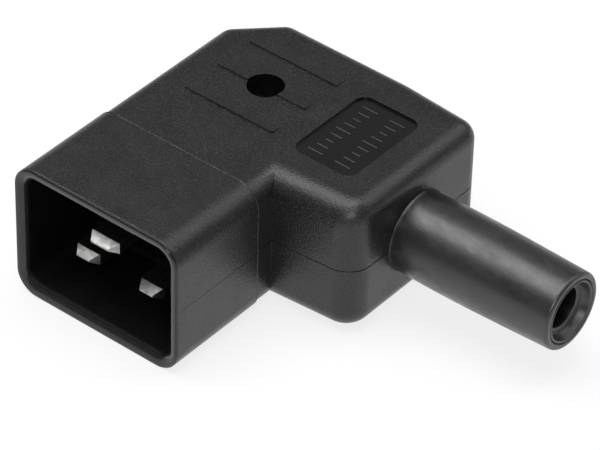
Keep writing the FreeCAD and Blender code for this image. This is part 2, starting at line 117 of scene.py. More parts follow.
class Value:
    """A number inside a node tree: Python operators on it add Math nodes."""

    def __init__(self, sheet: "Sheet", socket: bpy.types.NodeSocket) -> None:
        """Wrap one output socket of a sheet."""
        self.sheet = sheet
        self.socket = socket

    def _math(self, operation: str, first: "Value | float", second: "Value | float") -> "Value":
        """Add one Math node and give its result."""
        return Value(self.sheet, self.sheet.output(
            "ShaderNodeMath", {0: first, 1: second}, operation=operation))

    def __add__(self, other: "Value | float") -> "Value":
        """Sum."""
        return self._math("ADD", self, other)

    def __sub__(self, other: "Value | float") -> "Value":
        """Difference."""
        return self._math("SUBTRACT", self, other)

    def __rsub__(self, other: float) -> "Value":
        """Difference from a plain number."""
        return self._math("SUBTRACT", other, self)

    def __mul__(self, other: "Value | float") -> "Value":
        """Product."""
        return self._math("MULTIPLY", self, other)

    def __truediv__(self, other: "Value | float") -> "Value":
        """Quotient."""
        return self._math("DIVIDE", self, other)

    def above(self, other: "Value | float") -> "Value":
        """1 where this is greater than the other, otherwise 0."""
        return self._math("GREATER_THAN", self, other)

    def wave(self, pitch: float) -> "Value":
        """Triangle wave between 0 and half a pitch."""
        return self._math("PINGPONG", self, pitch / 2)

    __radd__ = __add__
    __rmul__ = __mul__


class Sheet:
    """A node tree, and the one way to add nodes to it."""

    def __init__(self, tree: bpy.types.NodeTree) -> None:
        """Take over an empty tree."""
        self.tree = tree

    def feed(self, target: bpy.types.NodeSocket, given: Any) -> None:
        """Link a value or a socket to an input, or set the input to plain data.

        Args:
            target: the input socket.
            given: what it gets.
        """
        source = given.socket if isinstance(given, Value) else given
        if isinstance(source, bpy.types.NodeSocket):
            self.tree.links.new(source, target)
        else:
            target.default_value = source

    def node(self, kind: str, settings: dict[str, Any] | None = None,
             inputs: dict[str | int, Any] | None = None) -> bpy.types.Node:
        """Add a node.

        Args:
            kind: the node's type.
            settings: its properties, or a ramp's stops, set before anything is linked.
            inputs: values or links for its sockets, by name or number.

        Returns:
            The new node.
        """
        made = self.tree.nodes.new(kind)
        for name, setting in (settings or {}).items():
            if name == "stops":
                self._set_stops(made.color_ramp, setting)
            else:
                setattr(made, name, setting)
        for key, given in (inputs or {}).items():
            self.feed(made.inputs[key], given)
        return made

    def output(self, kind: str, inputs: dict[str | int, Any] | None = None,
               **settings: Any) -> bpy.types.NodeSocket:
        """Add a node with those inputs and settings and give its first output."""
        return self.node(kind, settings, inputs).outputs[0]

    @staticmethod
    def _set_stops(ramp: bpy.types.ColorRamp, stops: Sequence[tuple[float, float]]) -> None:
        """Give a ramp its grey stops.

        Args:
            ramp: the ramp.
            stops: its stops as pairs of place and brightness.
        """
        while len(ramp.elements) < len(stops):
            ramp.elements.new(1.0)
        for element, (place, grey) in zip(ramp.elements, stops):
            element.position = place
            element.color = (grey, grey, grey, 1.0)


class MaterialSheet(Sheet):
    """A material's node tree, with its Principled shader."""

    def __init__(self, name: str) -> None:
        """Start an empty material.

        Args:
            name: the material's name.
        """
        self.material = bpy.data.materials.new(name)
        self.material.use_nodes = True
        super().__init__(self.material.node_tree)
        self.tree.nodes.clear()
        self.shader = self.node("ShaderNodeBsdfPrincipled")
        self.end = self.node("ShaderNodeOutputMaterial", inputs={0: self.shader.outputs[0]})
        self.place = self.node("ShaderNodeTexCoord").outputs["Object"]

    def noise(self, size_mm: float, detail: float = 2.0, roughness: float = 0.5,
              stretch: Sequence[float] = (1.0, 1.0, 1.0), offset: float = 0.0) -> Value:
        """Add a noise pattern.

        Args:
            size_mm: the size of its grains.
            detail: its octaves.
            roughness: how strong the finer octaves are.
            stretch: how many times finer it is along each axis.
            offset: a shift that makes it differ from others of its size.

        Returns:
            The noise, from 0 to 1.
        """
        mapped = self.output("ShaderNodeMapping", {
            "Vector": self.place, "Scale": tuple(stretch), "Location": (offset, offset, offset)})
        return Value(self, self.output("ShaderNodeTexNoise", {
            "Vector": mapped, "Scale": 1.0 / (size_mm * MM), "Detail": detail,
            "Roughness": roughness}))

    def ramp(self, value: Value, stops: Sequence[tuple[float, float]]) -> Value:
        """Pass a value through a ramp of grey stops."""
        return Value(self, self.output("ShaderNodeValToRGB", {0: value}, stops=stops))

    def tint(self, amount: Value, dark: Colour, light: Colour) -> bpy.types.NodeSocket:
        """Mix two colours.

        Args:
            amount: how much of the light one there is, from 0 to 1.
            dark: the colour at 0.
            light: the colour at 1.

        Returns:
            The mixed colour.
        """
        made = self.node("ShaderNodeMix", {"data_type": "RGBA"},
                         {0: amount, 6: (*dark, 1.0), 7: (*light, 1.0)})
        return made.outputs[2]

    def bump(self, height: Value, depth_mm: float, strength: float) -> bpy.types.NodeSocket:
        """Turn a height from 0 to 1 into a bumped normal, by its depth and how much shows."""
        return self.output("ShaderNodeBump", {
            "Height": height, "Distance": depth_mm * MM, "Strength": strength})

    def set(self, **sockets: Any) -> None:
        """Set or link the shader's sockets; an underscore in a name stands for a space."""
        for name, given in sockets.items():
            self.feed(self.shader.inputs[name.replace("_", " ")], given)


# ---------------------------------------------------------------------------------------------
# Finishes
# ---------------------------------------------------------------------------------------------

@dataclass(frozen=True)
class SparkPlastic:
    """Black thermoplastic from a spark-eroded mould: a fine, even grain over soft mottling."""

    name: str = "spark_textured_plastic"
    dark: Colour = (0.0004, 0.0004, 0.0005)
    light: Colour = (0.03, 0.0302, 0.0315)
    roughness: float = 0.36
    grain_mm: float = 0.2
    grain_depth_mm: float = 0.055

    def material(self) -> bpy.types.Material:
        """Build the material.

        Returns:
            The new material.
        """
        sheet = MaterialSheet(self.name)
        grain = sheet.noise(self.grain_mm, detail=1.5, roughness=0.6)
        pits = sheet.ramp(sheet.noise(self.grain_mm * 1.9, detail=1.0, offset=0.31),
                          [(0.34, 0.0), (0.6, 1.0)])
        specks = sheet.ramp(sheet.noise(self.grain_mm * 1.15, detail=1.0, offset=0.73),
                            [(0.46, 0.0), (0.7, 1.0)])
        clouds = sheet.noise(5.5, detail=3.0, offset=0.13)
        relief = grain * 0.65 + pits * 0.35
        sheet.set(
            Base_Color=sheet.tint(specks * 0.66 + clouds * 0.14, self.dark, self.light),
            Roughness=(clouds - 0.5) * 0.16 + (grain - 0.5) * 0.2 + self.roughness,
            Normal=sheet.bump(relief, self.grain_depth_mm, 0.8),
            Specular_IOR_Level=0.6)
        return sheet.material


@dataclass(frozen=True)
class PolishedPlastic:
    """The same plastic where the mould was polished: rims, recess walls and the label field."""

    name: str = "polished_plastic"
    dark: Colour = (0.0036, 0.0036, 0.0038)
    light: Colour = (0.0065, 0.0065, 0.0069)
    roughness: float = 0.2
    shine: float = 0.5

    def material(self) -> bpy.types.Material:
        """Build the material.

        Returns:
            The new material.
        """
        sheet = MaterialSheet(self.name)
        flow = sheet.noise(3.2, detail=4.0, stretch=(1.0, 0.35, 1.0), offset=0.57)
        haze = sheet.noise(0.6, detail=2.0, offset=0.21)
        sheet.set(
            Base_Color=sheet.tint(flow, self.dark, self.light),
            Roughness=(flow - 0.5) * 0.2 + (haze - 0.5) * 0.1 + self.roughness,
            Normal=sheet.bump(haze * 0.5 + flow * 0.5, 0.006, 0.5),
            Specular_IOR_Level=self.shine)
        return sheet.material


@dataclass(frozen=True)
class SleeveRubber:
    """Smooth soft rubber with a satin bloom and faint rub marks along the sleeve."""

    name: str = "satin_rubber"
    dark: Colour = (0.0018, 0.0018, 0.002)
    light: Colour = (0.0105, 0.0105, 0.011)
    roughness: float = 0.36

    def material(self) -> bpy.types.Material:
        """Build the material.

        Returns:
            The new material.
        """
        sheet = MaterialSheet(self.name)
        bloom = sheet.noise(2.4, detail=4.0, roughness=0.6, stretch=(0.55, 1.0, 1.0))
        rubs = sheet.noise(0.7, detail=3.0, stretch=(0.55, 1.0, 1.0), offset=0.4)
        skin = sheet.noise(0.26, detail=1.5, offset=0.77)
        sheet.set(
            Base_Color=sheet.tint(bloom * 0.6 + rubs * 0.4, self.dark, self.light),
            Roughness=(bloom - 0.5) * 0.36 + (rubs - 0.5) * 0.24 + self.roughness,
            Normal=sheet.bump(rubs * 0.5 + skin * 0.5, 0.035, 0.7),
            Specular_IOR_Level=0.92)
        return sheet.material


@dataclass(frozen=True)
class NickelPlate:
    """Nickel-plated brass with fine lines drawn along the pins and a few dull spots."""

    name: str = "nickel_plate"
    dark: Colour = (0.19, 0.186, 0.18)
    light: Colour = (0.44, 0.432, 0.421)
    roughness: float = 0.32

    def material(self) -> bpy.types.Material:
        """Build the material.

        Returns:
            The new material.
        """
        sheet = MaterialSheet(self.name)
        lines = sheet.noise(0.16, detail=3.0, roughness=0.65, stretch=(1.0, 0.12, 1.0))
        spots = sheet.noise(0.9, detail=4.0, roughness=0.65, offset=0.5)
        sheet.set(
            Base_Color=sheet.tint(sheet.ramp(spots, [(0.3, 0.15), (0.62, 1.0)]),
                                  self.dark, self.light),
            Metallic=1.0,
            Roughness=(lines - 0.5) * 0.12 + (spots - 0.5) * -0.12 + self.roughness,
            Normal=sheet.bump(lines, 0.0015, 0.35))
        return sheet.material


@dataclass(frozen=True)
class ZincSteel:
    """Bright zinc-plated steel of the screws and the nut."""

    name: str = "zinc_steel"
    dark: Colour = (0.38, 0.39, 0.41)
    light: Colour = (0.62, 0.63, 0.65)
    roughness: float = 0.33

    def material(self) -> bpy.types.Material:
        """Build the material.

        Returns:
            The new material.
        """
        sheet = MaterialSheet(self.name)
        crystals = sheet.noise(0.35, detail=3.0, roughness=0.6, offset=0.9)
        sheet.set(
            Base_Color=sheet.tint(crystals, self.dark, self.light),
            Metallic=1.0,
            Roughness=(crystals - 0.5) * 0.3 + self.roughness,
            Normal=sheet.bump(crystals, 0.005, 0.4))
        return sheet.material


class Finish(Enum):
    """The finishes of the plug's surfaces, with the record's slot that each belongs to."""

    SHROUD = ("shroud_plastic", SparkPlastic(name="shroud_spark_plastic"))
    SHROUD_POLISHED = ("shroud_plastic", PolishedPlastic(
        name="shroud_polished_plastic", shine=0.58))
    # The recess copy is the same plastic with a satin roughness; its darker colour and weaker
    # shine are painted shade, standing in for the shade inside the recess.
    SHROUD_RECESS_PAINTED_SHADE = ("shroud_plastic", PolishedPlastic(
        name="shroud_recess_painted_shade_plastic", dark=(0.0018, 0.0017, 0.0016),
        light=(0.0034, 0.0032, 0.003), roughness=0.57, shine=0.2))
    COVER = ("cover_plastic", SparkPlastic(name="cover_spark_plastic"))
    COVER_POLISHED = ("cover_plastic", PolishedPlastic(name="cover_polished_plastic", shine=0.42))
    CLAMP = ("clamp_plastic", SparkPlastic(
        name="clamp_spark_plastic", dark=(0.03, 0.03, 0.031), light=(0.045, 0.045, 0.046)))
    RUBBER = ("sleeve_rubber", SleeveRubber())
    NICKEL = ("pin_metal", NickelPlate())
    ZINC = ("screw_steel", ZincSteel())

    @property
    def slot(self) -> str:
        """The record's material slot."""
        return self.value[0]

    def material(self) -> bpy.types.Material:
        """The finish's material, built when it is first asked for."""
        recipe = self.value[1]
        return bpy.data.materials.get(recipe.name) or recipe.material()


# ---------------------------------------------------------------------------------------------
# Solids
# ---------------------------------------------------------------------------------------------

class Axis(Enum):
    """The axis that an outline is pushed along, with the places of its own two directions."""

    X = (1, 2, 0)
    Y = (0, 2, 1)
    Z = (0, 1, 2)

    def point(self, across: float, up: float, along: float) -> Vector:
        """Place an outline's point in the plug's frame.

        Args:
            across: its first coordinate.
            up: its second coordinate.
            along: its place along this axis.

        Returns:
            The point.
        """
        spot = [0.0, 0.0, 0.0]
        for index, length in zip(self.value, (across, up, along)):
            spot[index] = length
        return Vector(spot)


@dataclass(frozen=True)
class Corner:
    """A corner of an outline, with the radius that rounds it."""

    x: float
    y: float
    radius: float = 0.0

    @property
    def spot(self) -> Vector:
        """The corner as a vector."""
        return Vector((self.x, self.y))


def rounded(corners: Sequence[Corner], inset: float = 0.0, fixed: Iterable[int] = (),
            steps: int = ROUND_STEPS, own: dict[int, float] | None = None) -> list[Point]:
    """Outline with rounded corners, drawn in by an inset.

    Args:
        corners: the corners, anticlockwise.
        inset: how far the sides move in.
        fixed: numbers of the sides that stay; a side has the number of its first corner.
        steps: facets in each rounded corner.
        own: insets of single sides that differ from the others'.

    Returns:
        The outline's points: the same number for any inset.
    """
    count = len(corners)
    shifts = {number: inset for number in range(count)} | (own or {})
    shifts |= {number: 0.0 for number in fixed}
    points: list[Point] = []
    for number, corner in enumerate(corners):
        back = (corner.spot - corners[number - 1].spot).normalized()
        ahead = (corners[(number + 1) % count].spot - corner.spot).normalized()
        shift_back, shift_ahead = shifts[(number - 1) % count], shifts[number]
        start = corner.spot + Vector((-back.y, back.x)) * shift_back
        end = corner.spot + Vector((-ahead.y, ahead.x)) * shift_ahead
        cross = back.cross(ahead)
        meeting = start + back * ((end - start).cross(ahead) / cross)
        if corner.radius == 0.0:
            points.append((meeting.x, meeting.y))
            continue
        turn = math.atan2(cross, back.dot(ahead))
        radius = max(corner.radius - math.copysign((shift_back + shift_ahead) / 2, turn), 0.0)
        centre = meeting - back * (radius * math.tan(abs(turn) / 2))
        centre += Vector((-back.y, back.x)) * math.copysign(radius, turn)
        arm = Vector((back.y, -back.x)) * math.copysign(radius, turn)
        for step in range(steps + 1):
            spoke = Matrix.Rotation(turn * step / steps, 2) @ arm
            points.append((centre.x + spoke.x, centre.y + spoke.y))
    return points


def rectangle(left: float, front: float, right: float, back: float) -> list[Point]:
    """The corners of a rectangle, anticlockwise from the left front one."""
    return [(left, front), (right, front), (right, back), (left, back)]


def shrunk(lengths: Iterable[float], amount: float) -> list[float]:
    """Lengths that are all shorter by an amount."""
    return [length - amount for length in lengths]


def circle_outline(x: float, y: float, radius: float, count: int = CIRCLE_FACETS) -> list[Point]:
    """Circle as a closed outline."""
    turns = [math.tau * number / count for number in range(count)]
    return [(x + radius * math.cos(turn), y + radius * math.sin(turn)) for turn in turns]


class Solid:
    """A closed mesh in millimetres: + joins another to it and - cuts another from it."""

    def __init__(self, mesh: bpy.types.Mesh) -> None:
        """Take over a mesh."""
        self.mesh = mesh

    @classmethod
    def from_bmesh(cls, work: bmesh.types.BMesh) -> "Solid":
        """Turn a work mesh into a solid whose faces point outwards.

        Args:
            work: the work mesh, which is freed.

        Returns:
            The solid.
        """
        bmesh.ops.remove_doubles(work, verts=work.verts, dist=MERGE_MM)
        bmesh.ops.dissolve_degenerate(work, edges=work.edges, dist=MERGE_MM)
        bmesh.ops.recalc_face_normals(work, faces=work.faces)
        mesh = bpy.data.meshes.new("solid")
        work.to_mesh(mesh)
        work.free()
        return cls(mesh)

    @classmethod
    def loft(cls, rings: Sequence[Sequence[Vector]], closed: bool = False) -> "Solid":
        """Skin a row of rings that have the same number of points.

        Args:
            rings: the rings in order.
            closed: whether the last ring meets the first; otherwise both ends are capped.

        Returns:
            The solid.
        """
        work = bmesh.new()
        rows = [[work.verts.new(spot) for spot in ring] for ring in rings]
        pairs = list(zip(rows, rows[1:] + rows[:1])) if closed else list(zip(rows, rows[1:]))
        for low, high in pairs:
            for number in range(len(low)):
                after = (number + 1) % len(low)
                work.faces.new((low[number], low[after], high[after], high[number]))
        if not closed:
            work.faces.new(list(reversed(rows[0])))
            work.faces.new(rows[-1])
        return cls.from_bmesh(work)

    @classmethod
    def prism(cls, outline: Sequence[Point], low: float, high: float,
              axis: Axis = Axis.Z) -> "Solid":
        """Push an outline along an axis from low to high."""
        return cls.loft([[axis.point(x, y, along) for x, y in outline] for along in (low, high)])

    @classmethod
    def lathe(cls, profile: Sequence[Point], y: float, z: float, steps: int = 96) -> "Solid":
        """Turn a closed profile round an axis along X.

        Args:
            profile: its points as pairs of x and radius.
            y: the axis's place across.
            z: the axis's height.
            steps: facets in a whole turn.

        Returns:
            The solid.
        """
        turns = [math.tau * number / steps for number in range(steps)]
        rings = [[Vector((x, y + radius * math.cos(turn), z + radius * math.sin(turn)))
                  for x, radius in profile] for turn in turns]
        return cls.loft(rings, closed=True)

    def _combined(self, other: "Solid", operation: str) -> "Solid":
        """Run one exact boolean.

        Args:
            other: the second solid.
            operation: what is done with it.

        Returns:
            The clean result.
        """
        tool = placed("tool", other.mesh)
        mesh = modified(self.mesh, "BOOLEAN", operation=operation, solver="EXACT", object=tool)
        bpy.data.objects.remove(tool)
        work = bmesh.new()
        work.from_mesh(mesh)
        return Solid.from_bmesh(work)

    def __add__(self, other: "Solid") -> "Solid":
        """Join."""
        return self._combined(other, "UNION")

    def __sub__(self, other: "Solid") -> "Solid":
        """Cut."""
        return self._combined(other, "DIFFERENCE")

    def moved(self, matrix: Matrix) -> "Solid":
        """Move, turn or mirror the solid.

        Args:
            matrix: how it moves.

        Returns:
            The solid in its new place, with its faces outwards.
        """
        work = bmesh.new()
        work.from_mesh(self.mesh)
        bmesh.ops.transform(work, matrix=matrix, verts=work.verts)
        return Solid.from_bmesh(work)

    def sliced(self, place: Vector, outwards: Vector) -> "Solid":
        """Cut off what lies beyond a plane and close the cut.

        Args:
            place: a point of the plane.
            outwards: the plane's direction, towards what goes.

        Returns:
            What is left.
        """
        work = bmesh.new()
        work.from_mesh(self.mesh)
        geometry = work.verts[:] + work.edges[:] + work.faces[:]
        cut = bmesh.ops.bisect_plane(work, geom=geometry, plane_co=place, plane_no=outwards,
                                     clear_outer=True)["geom_cut"]
        edges = [item for item in cut if isinstance(item, bmesh.types.BMEdge)]
        bmesh.ops.holes_fill(work, edges=edges)
        return Solid.from_bmesh(work)


def placed(name: str, data: bpy.types.ID) -> bpy.types.Object:
    """Put a mesh, a lamp or a camera in the scene.

    Args:
        name: the object's name.
        data: what it holds.

    Returns:
        The object.
    """
    made = bpy.data.objects.new(name, data)
    bpy.context.scene.collection.objects.link(made)
    return made


def baked(made: bpy.types.Object) -> bpy.types.Mesh:
    """The mesh that an object's modifiers leave."""
    depsgraph = bpy.context.evaluated_depsgraph_get()
    return bpy.data.meshes.new_from_object(made.evaluated_get(depsgraph))


def modified(mesh: bpy.types.Mesh, kind: str, **settings: Any) -> bpy.types.Mesh:
    """Run one modifier on a mesh.

    Args:
        mesh: the mesh.
        kind: the modifier's type.
        settings: its properties.

    Returns:
        The mesh that it leaves.
    """
    draft = placed("draft", mesh)
    modifier = draft.modifiers.new(kind.lower(), kind)
    for name, setting in settings.items():
        setattr(modifier, name, setting)
    result = baked(draft)
    bpy.data.objects.remove(draft)
    return result


def shown(solid: Solid, name: str, finishes: Sequence[Finish], replaced: Sequence[str],
          region: Region | None = None, edge_mm: float = 0.08, edge_limit: float = 42.0,
          flat_limit: float = 0.3, sharp_limit: float = 40.0) -> bpy.types.Object:
    """Finish a solid as a visible piece: soft edges, smooth shading, materials and place.

    Args:
        solid: the solid, in millimetres.
        name: the piece's name.
        finishes: its finishes, in the order of their material numbers.
        replaced: the model's nodes that it stands for.
        region: gives the number of the finish from a face's centre and direction.
        edge_mm: width of the soft edge.
        edge_limit: edges that turn more than this many degrees are softened.
        flat_limit: faces that meet at less than this many degrees become one.
        sharp_limit: edges that turn more than this many degrees are shaded sharp.

    Returns:
        The piece.
    """
    work = bmesh.new()
    work.from_mesh(solid.mesh)
    bmesh.ops.dissolve_limit(work, angle_limit=math.radians(flat_limit), verts=work.verts,
                             edges=work.edges)
    work.to_mesh(solid.mesh)
    work.free()
    mesh = solid.mesh
    if edge_mm:
        mesh = modified(mesh, "BEVEL", width=edge_mm, segments=2, limit_method="ANGLE",
                        angle_limit=math.radians(edge_limit), use_clamp_overlap=True)
    mesh.shade_smooth()
    mesh.set_sharp_from_angle(angle=math.radians(sharp_limit))
    mesh = modified(mesh, "WEIGHTED_NORMAL", keep_sharp=True)
    for finish in finishes:
        mesh.materials.append(finish.material())
    if region:
        for face in mesh.polygons:
            face.material_index = region(face.center, face.normal)
    if not mesh.polygons:
        raise ValueError(f"{name} has no faces")
    mesh.transform(Matrix.Scale(MM, 4))
    mesh.name = name
    piece = placed(name, mesh)
    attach(piece, "root")
    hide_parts(*replaced)
    LOG.info("%s: %d faces", name, len(mesh.polygons))
    return piece


# ---------------------------------------------------------------------------------------------
# Geometry Nodes: what repeats
# ---------------------------------------------------------------------------------------------

class GrowthTree(Sheet):
    """A geometry tree with named inputs."""

    def __init__(self, name: str, sizes: dict[str, float], counts: dict[str, int]) -> None:
        """Start a tree.

        Args:
            name: its name.
            sizes: its named lengths, with their values.
            counts: its named whole numbers, with their values.
        """
        super().__init__(bpy.data.node_groups.new(name, "GeometryNodeTree"))
        face = self.tree.interface
        face.new_socket("Geometry", in_out="INPUT", socket_type="NodeSocketGeometry")
        face.new_socket("Geometry", in_out="OUTPUT", socket_type="NodeSocketGeometry")
        self.values: dict[str, float | int] = {**sizes, **counts}
        for given in sizes:
            face.new_socket(given, in_out="INPUT", socket_type="NodeSocketFloat")
        for given in counts:
            face.new_socket(given, in_out="INPUT", socket_type="NodeSocketInt")
        face.new_socket("Finish", in_out="INPUT", socket_type="NodeSocketMaterial")
        self.source = self.node("NodeGroupInput")

    def given(self, name: str) -> Value:
        """One of the tree's named inputs."""
        return Value(self, self.source.outputs[name])

    def vector(self, x: Value | float, y: Value | float,
               z: Value | float) -> bpy.types.NodeSocket:
        """Put three lengths together."""
        return self.output("ShaderNodeCombineXYZ", {0: x, 1: y, 2: z})

    def position(self, axis: int) -> Value:
        """Read a coordinate of the point at hand.

        Args:
            axis: 0, 1 or 2 for X, Y or Z.

        Returns:
            The coordinate.
        """
        parts = self.node("ShaderNodeSeparateXYZ", inputs={
            0: self.output("GeometryNodeInputPosition")})
        return Value(self, parts.outputs[axis])

    def grown(self, geometry: bpy.types.NodeSocket, points: Sequence[Vector],
              finish: Finish) -> Solid:
        """Close the tree on its last geometry, run it on points and keep the result as a mesh.

        Args:
            geometry: what the tree makes.
            points: the vertices of the mesh that it works on.
            finish: the finish that its Set Material node gives.

        Returns:
            The result, with its instances made real.
        """
        real = self.output("GeometryNodeRealizeInstances", {0: geometry})
        dressed = self.output("GeometryNodeSetMaterial", {
            "Geometry": real, "Material": self.source.outputs["Finish"]})
        self.node("NodeGroupOutput", inputs={0: dressed})
        seats = bpy.data.meshes.new("seats")
        seats.from_pydata([tuple(point) for point in points], [], [])
        host = placed("host", seats)
        modifier = host.modifiers.new("grow", "NODES")
        modifier.node_group = self.tree
        for item in self.tree.interface.items_tree:
            if item.in_out == "INPUT" and item.name in self.values:
                modifier[item.identifier] = self.values[item.name]
            elif item.in_out == "INPUT" and item.name == "Finish":
                modifier[item.identifier] = finish.material()
        mesh = baked(host)
        host.modifiers.remove(modifier)
        bpy.data.objects.remove(host)
        mesh.materials.clear()
        work = bmesh.new()
        work.from_mesh(mesh)
        return Solid.from_bmesh(work)


@dataclass
class GripRidges:
    """Low ridges across a face of the cover, each with a steep front and a long fall."""

    left: float = 9.3
    right: float = 8.6
    start: float = AT.joint + 12.3
    pitch: float = 7.95
    height: float = 0.27
    run: float = 2.3
    sunk: float = 0.3
    count: int = 3

    def solid(self, level: float) -> Solid:
        """Grow the ridges by a geometry tree.

        Args:
            level: the height of the face that they stand on.

        Returns:
            The ridges, sunk a little into the face.
        """
        tree = GrowthTree("grip_ridges", {
            "Left": self.left, "Right": self.right, "Pitch": self.pitch,
            "Height": self.height, "Run": self.run, "Sunk": self.sunk}, {"Count": self.count})
        width = tree.given("Left") + tree.given("Right")
        height = tree.given("Height") + tree.given("Sunk")
        block = tree.output("GeometryNodeMeshCube", {
            "Size": tree.vector(width, tree.given("Run"), height)})
        behind, raised = tree.position(1).above(0.0), tree.position(2).above(0.0)
        middle_x = (tree.given("Right") - tree.given("Left")) / 2
        drop = behind * raised * tree.given("Height") * -1.0
        offset = tree.vector(middle_x, tree.given("Run") / 2,
                             drop + (tree.given("Height") - tree.given("Sunk")) / 2)
        wedge = tree.output("GeometryNodeSetPosition", {"Geometry": block, "Offset": offset})
        row = tree.output("GeometryNodeMeshLine", {
            "Count": tree.given("Count"), "Start Location": (0.0, self.start, level),
            "Offset": tree.vector(0.0, tree.given("Pitch"), 0.0)})
        instances = tree.output("GeometryNodeInstanceOnPoints", {
            "Points": row, "Instance": wedge})
        return tree.grown(instances, [Vector((0.0, 0.0, 0.0))], Finish.COVER)


@dataclass
class FieldMarks:
    """Rows of plain raised bars in the sunk field, like the divisions of a rule."""

    rows: tuple[float, ...] = (16.3, 21.6)
    start: float = AT.joint + 13.7
    pitch: float = 1.7
    length: float = 3.0
    width: float = 0.72
    taper: float = 0.85
    height: float = 0.15
    sunk: float = 0.03
    cycle: float = 4.0
    shortening: float = 0.24
    count: int = 9

    def solid(self, level: float) -> Solid:
        """Grow the roof-shaped bars by a geometry tree, long and short by turns.

        Args:
            level: the height of the floor that they stand on.

        Returns:
            The bars, sunk a little into the floor.
        """
        tree = GrowthTree("field_marks", {
            "Pitch": self.pitch, "Length": self.length, "Width": self.width,
            "Height": self.height, "Sunk": self.sunk, "Taper": self.taper},
            {"Count": self.count})
        block = tree.output("GeometryNodeMeshCube", {"Size": tree.vector(
            tree.given("Length"), tree.given("Width"), tree.given("Height") + tree.given("Sunk"))})
        raised = tree.position(2).above(0.0)
        across = tree.position(1) * raised * tree.given("Taper") * -1.0
        bar = tree.output("GeometryNodeSetPosition", {
            "Geometry": block, "Offset": tree.vector(0.0, across, 0.0)})
        row = tree.output("GeometryNodeMeshLine", {
            "Count": tree.given("Count"), "Start Location": (0.0, 0.0, 0.0),
            "Offset": tree.vector(0.0, tree.given("Pitch"), 0.0)})
        index = Value(tree, tree.output("GeometryNodeInputIndex"))
        stretch = tree.vector(1.0 - index.wave(self.cycle) * self.shortening, 1.0, 1.0)
        marks = tree.output("GeometryNodeInstanceOnPoints", {
            "Points": row, "Instance": bar, "Scale": stretch})
        instances = tree.output("GeometryNodeInstanceOnPoints", {
            "Points": tree.source.outputs["Geometry"], "Instance": marks})
        middle = level + (self.height - self.sunk) / 2
        return tree.grown(instances, [Vector((x, self.start, middle)) for x in self.rows],
                          Finish.COVER_POLISHED)


@dataclass
class SlottedScrews:
    """Cheese-head screws of one size, each standing head up on its seat."""

    name: str
    nodes: tuple[str, ...]
    seats: tuple[Vector, ...]
    reach: float
    radius: float = 1.5
    head_radius: float = 2.5
    head_height: float = 2.0
    slot_width: float = 0.8
    slot_depth: float = 1.0
    thread_pitch: float = 0.5
    thread_depth: float = 0.24
    edge: float = 0.18
    slice: float = 0.05
    seat_tolerance: float = 0.001

    def build(self) -> bpy.types.Object:
        """Grow the screws by a geometry tree and show them.

        Returns:
            The screws as one piece.
        """
        tree = GrowthTree(self.name, {
            "Shank Radius": self.radius, "Head Radius": self.head_radius,
            "Head Height": self.head_height, "Reach": self.reach,
            "Slot Width": self.slot_width, "Slot Depth": self.slot_depth,
            "Thread Depth": self.thread_depth, "Edge": self.edge}, {})
        head_height = tree.given("Head Height")
        axis = tree.output("GeometryNodeCurvePrimitiveLine", {
            "Start": tree.vector(0.0, 0.0, tree.given("Reach") * -1.0),
            "End": tree.vector(0.0, 0.0, head_height)})
        slices = round((self.reach + self.head_height) / self.slice)
        sliced = tree.output("GeometryNodeResampleCurve", {"Curve": axis, "Count": slices + 1},
                             mode="COUNT")
        level = tree.position(2)
        slope = tree.given("Thread Depth") * 2.0 / self.thread_pitch
        shank = tree.given("Shank Radius") - level.wave(self.thread_pitch) * slope
        brim = level - head_height + tree.given("Edge")
        head = tree.given("Head Radius") - brim * brim.above(0.0)
        is_head = level.above(-self.seat_tolerance)
        radius = head * is_head + shank * (1.0 - is_head)
        shaped = tree.output("GeometryNodeSetCurveRadius", {"Curve": sliced, "Radius": radius})
        ring = tree.output("GeometryNodeCurvePrimitiveCircle", {
            "Resolution": HOLE_FACETS, "Radius": 1.0})
        turned = tree.node("GeometryNodeCurveToMesh", inputs={
            "Curve": shaped, "Profile Curve": ring, "Fill Caps": True})
        if "Scale" in turned.inputs:
            tree.feed(turned.inputs["Scale"], radius)
        blade = tree.output("GeometryNodeMeshCube", {"Size": tree.vector(
            tree.given("Head Radius") * 4.0, tree.given("Slot Width"),
            tree.given("Slot Depth") * 2.0)})
        raised = tree.output("GeometryNodeTransform", {
            "Geometry": blade, "Translation": tree.vector(0.0, 0.0, head_height)})
        cut = tree.output("GeometryNodeMeshBoolean", {
            "Mesh 1": turned.outputs[0], "Mesh 2": raised},
            operation="DIFFERENCE", solver="EXACT")
        instances = tree.output("GeometryNodeInstanceOnPoints", {
            "Points": tree.source.outputs["Geometry"], "Instance": cut})
        grown = tree.grown(instances, self.seats, Finish.ZINC)
        return shown(grown, self.name, (Finish.ZINC,), self.nodes, edge_mm=0.0)


# ---------------------------------------------------------------------------------------------
# Pieces
# ---------------------------------------------------------------------------------------------

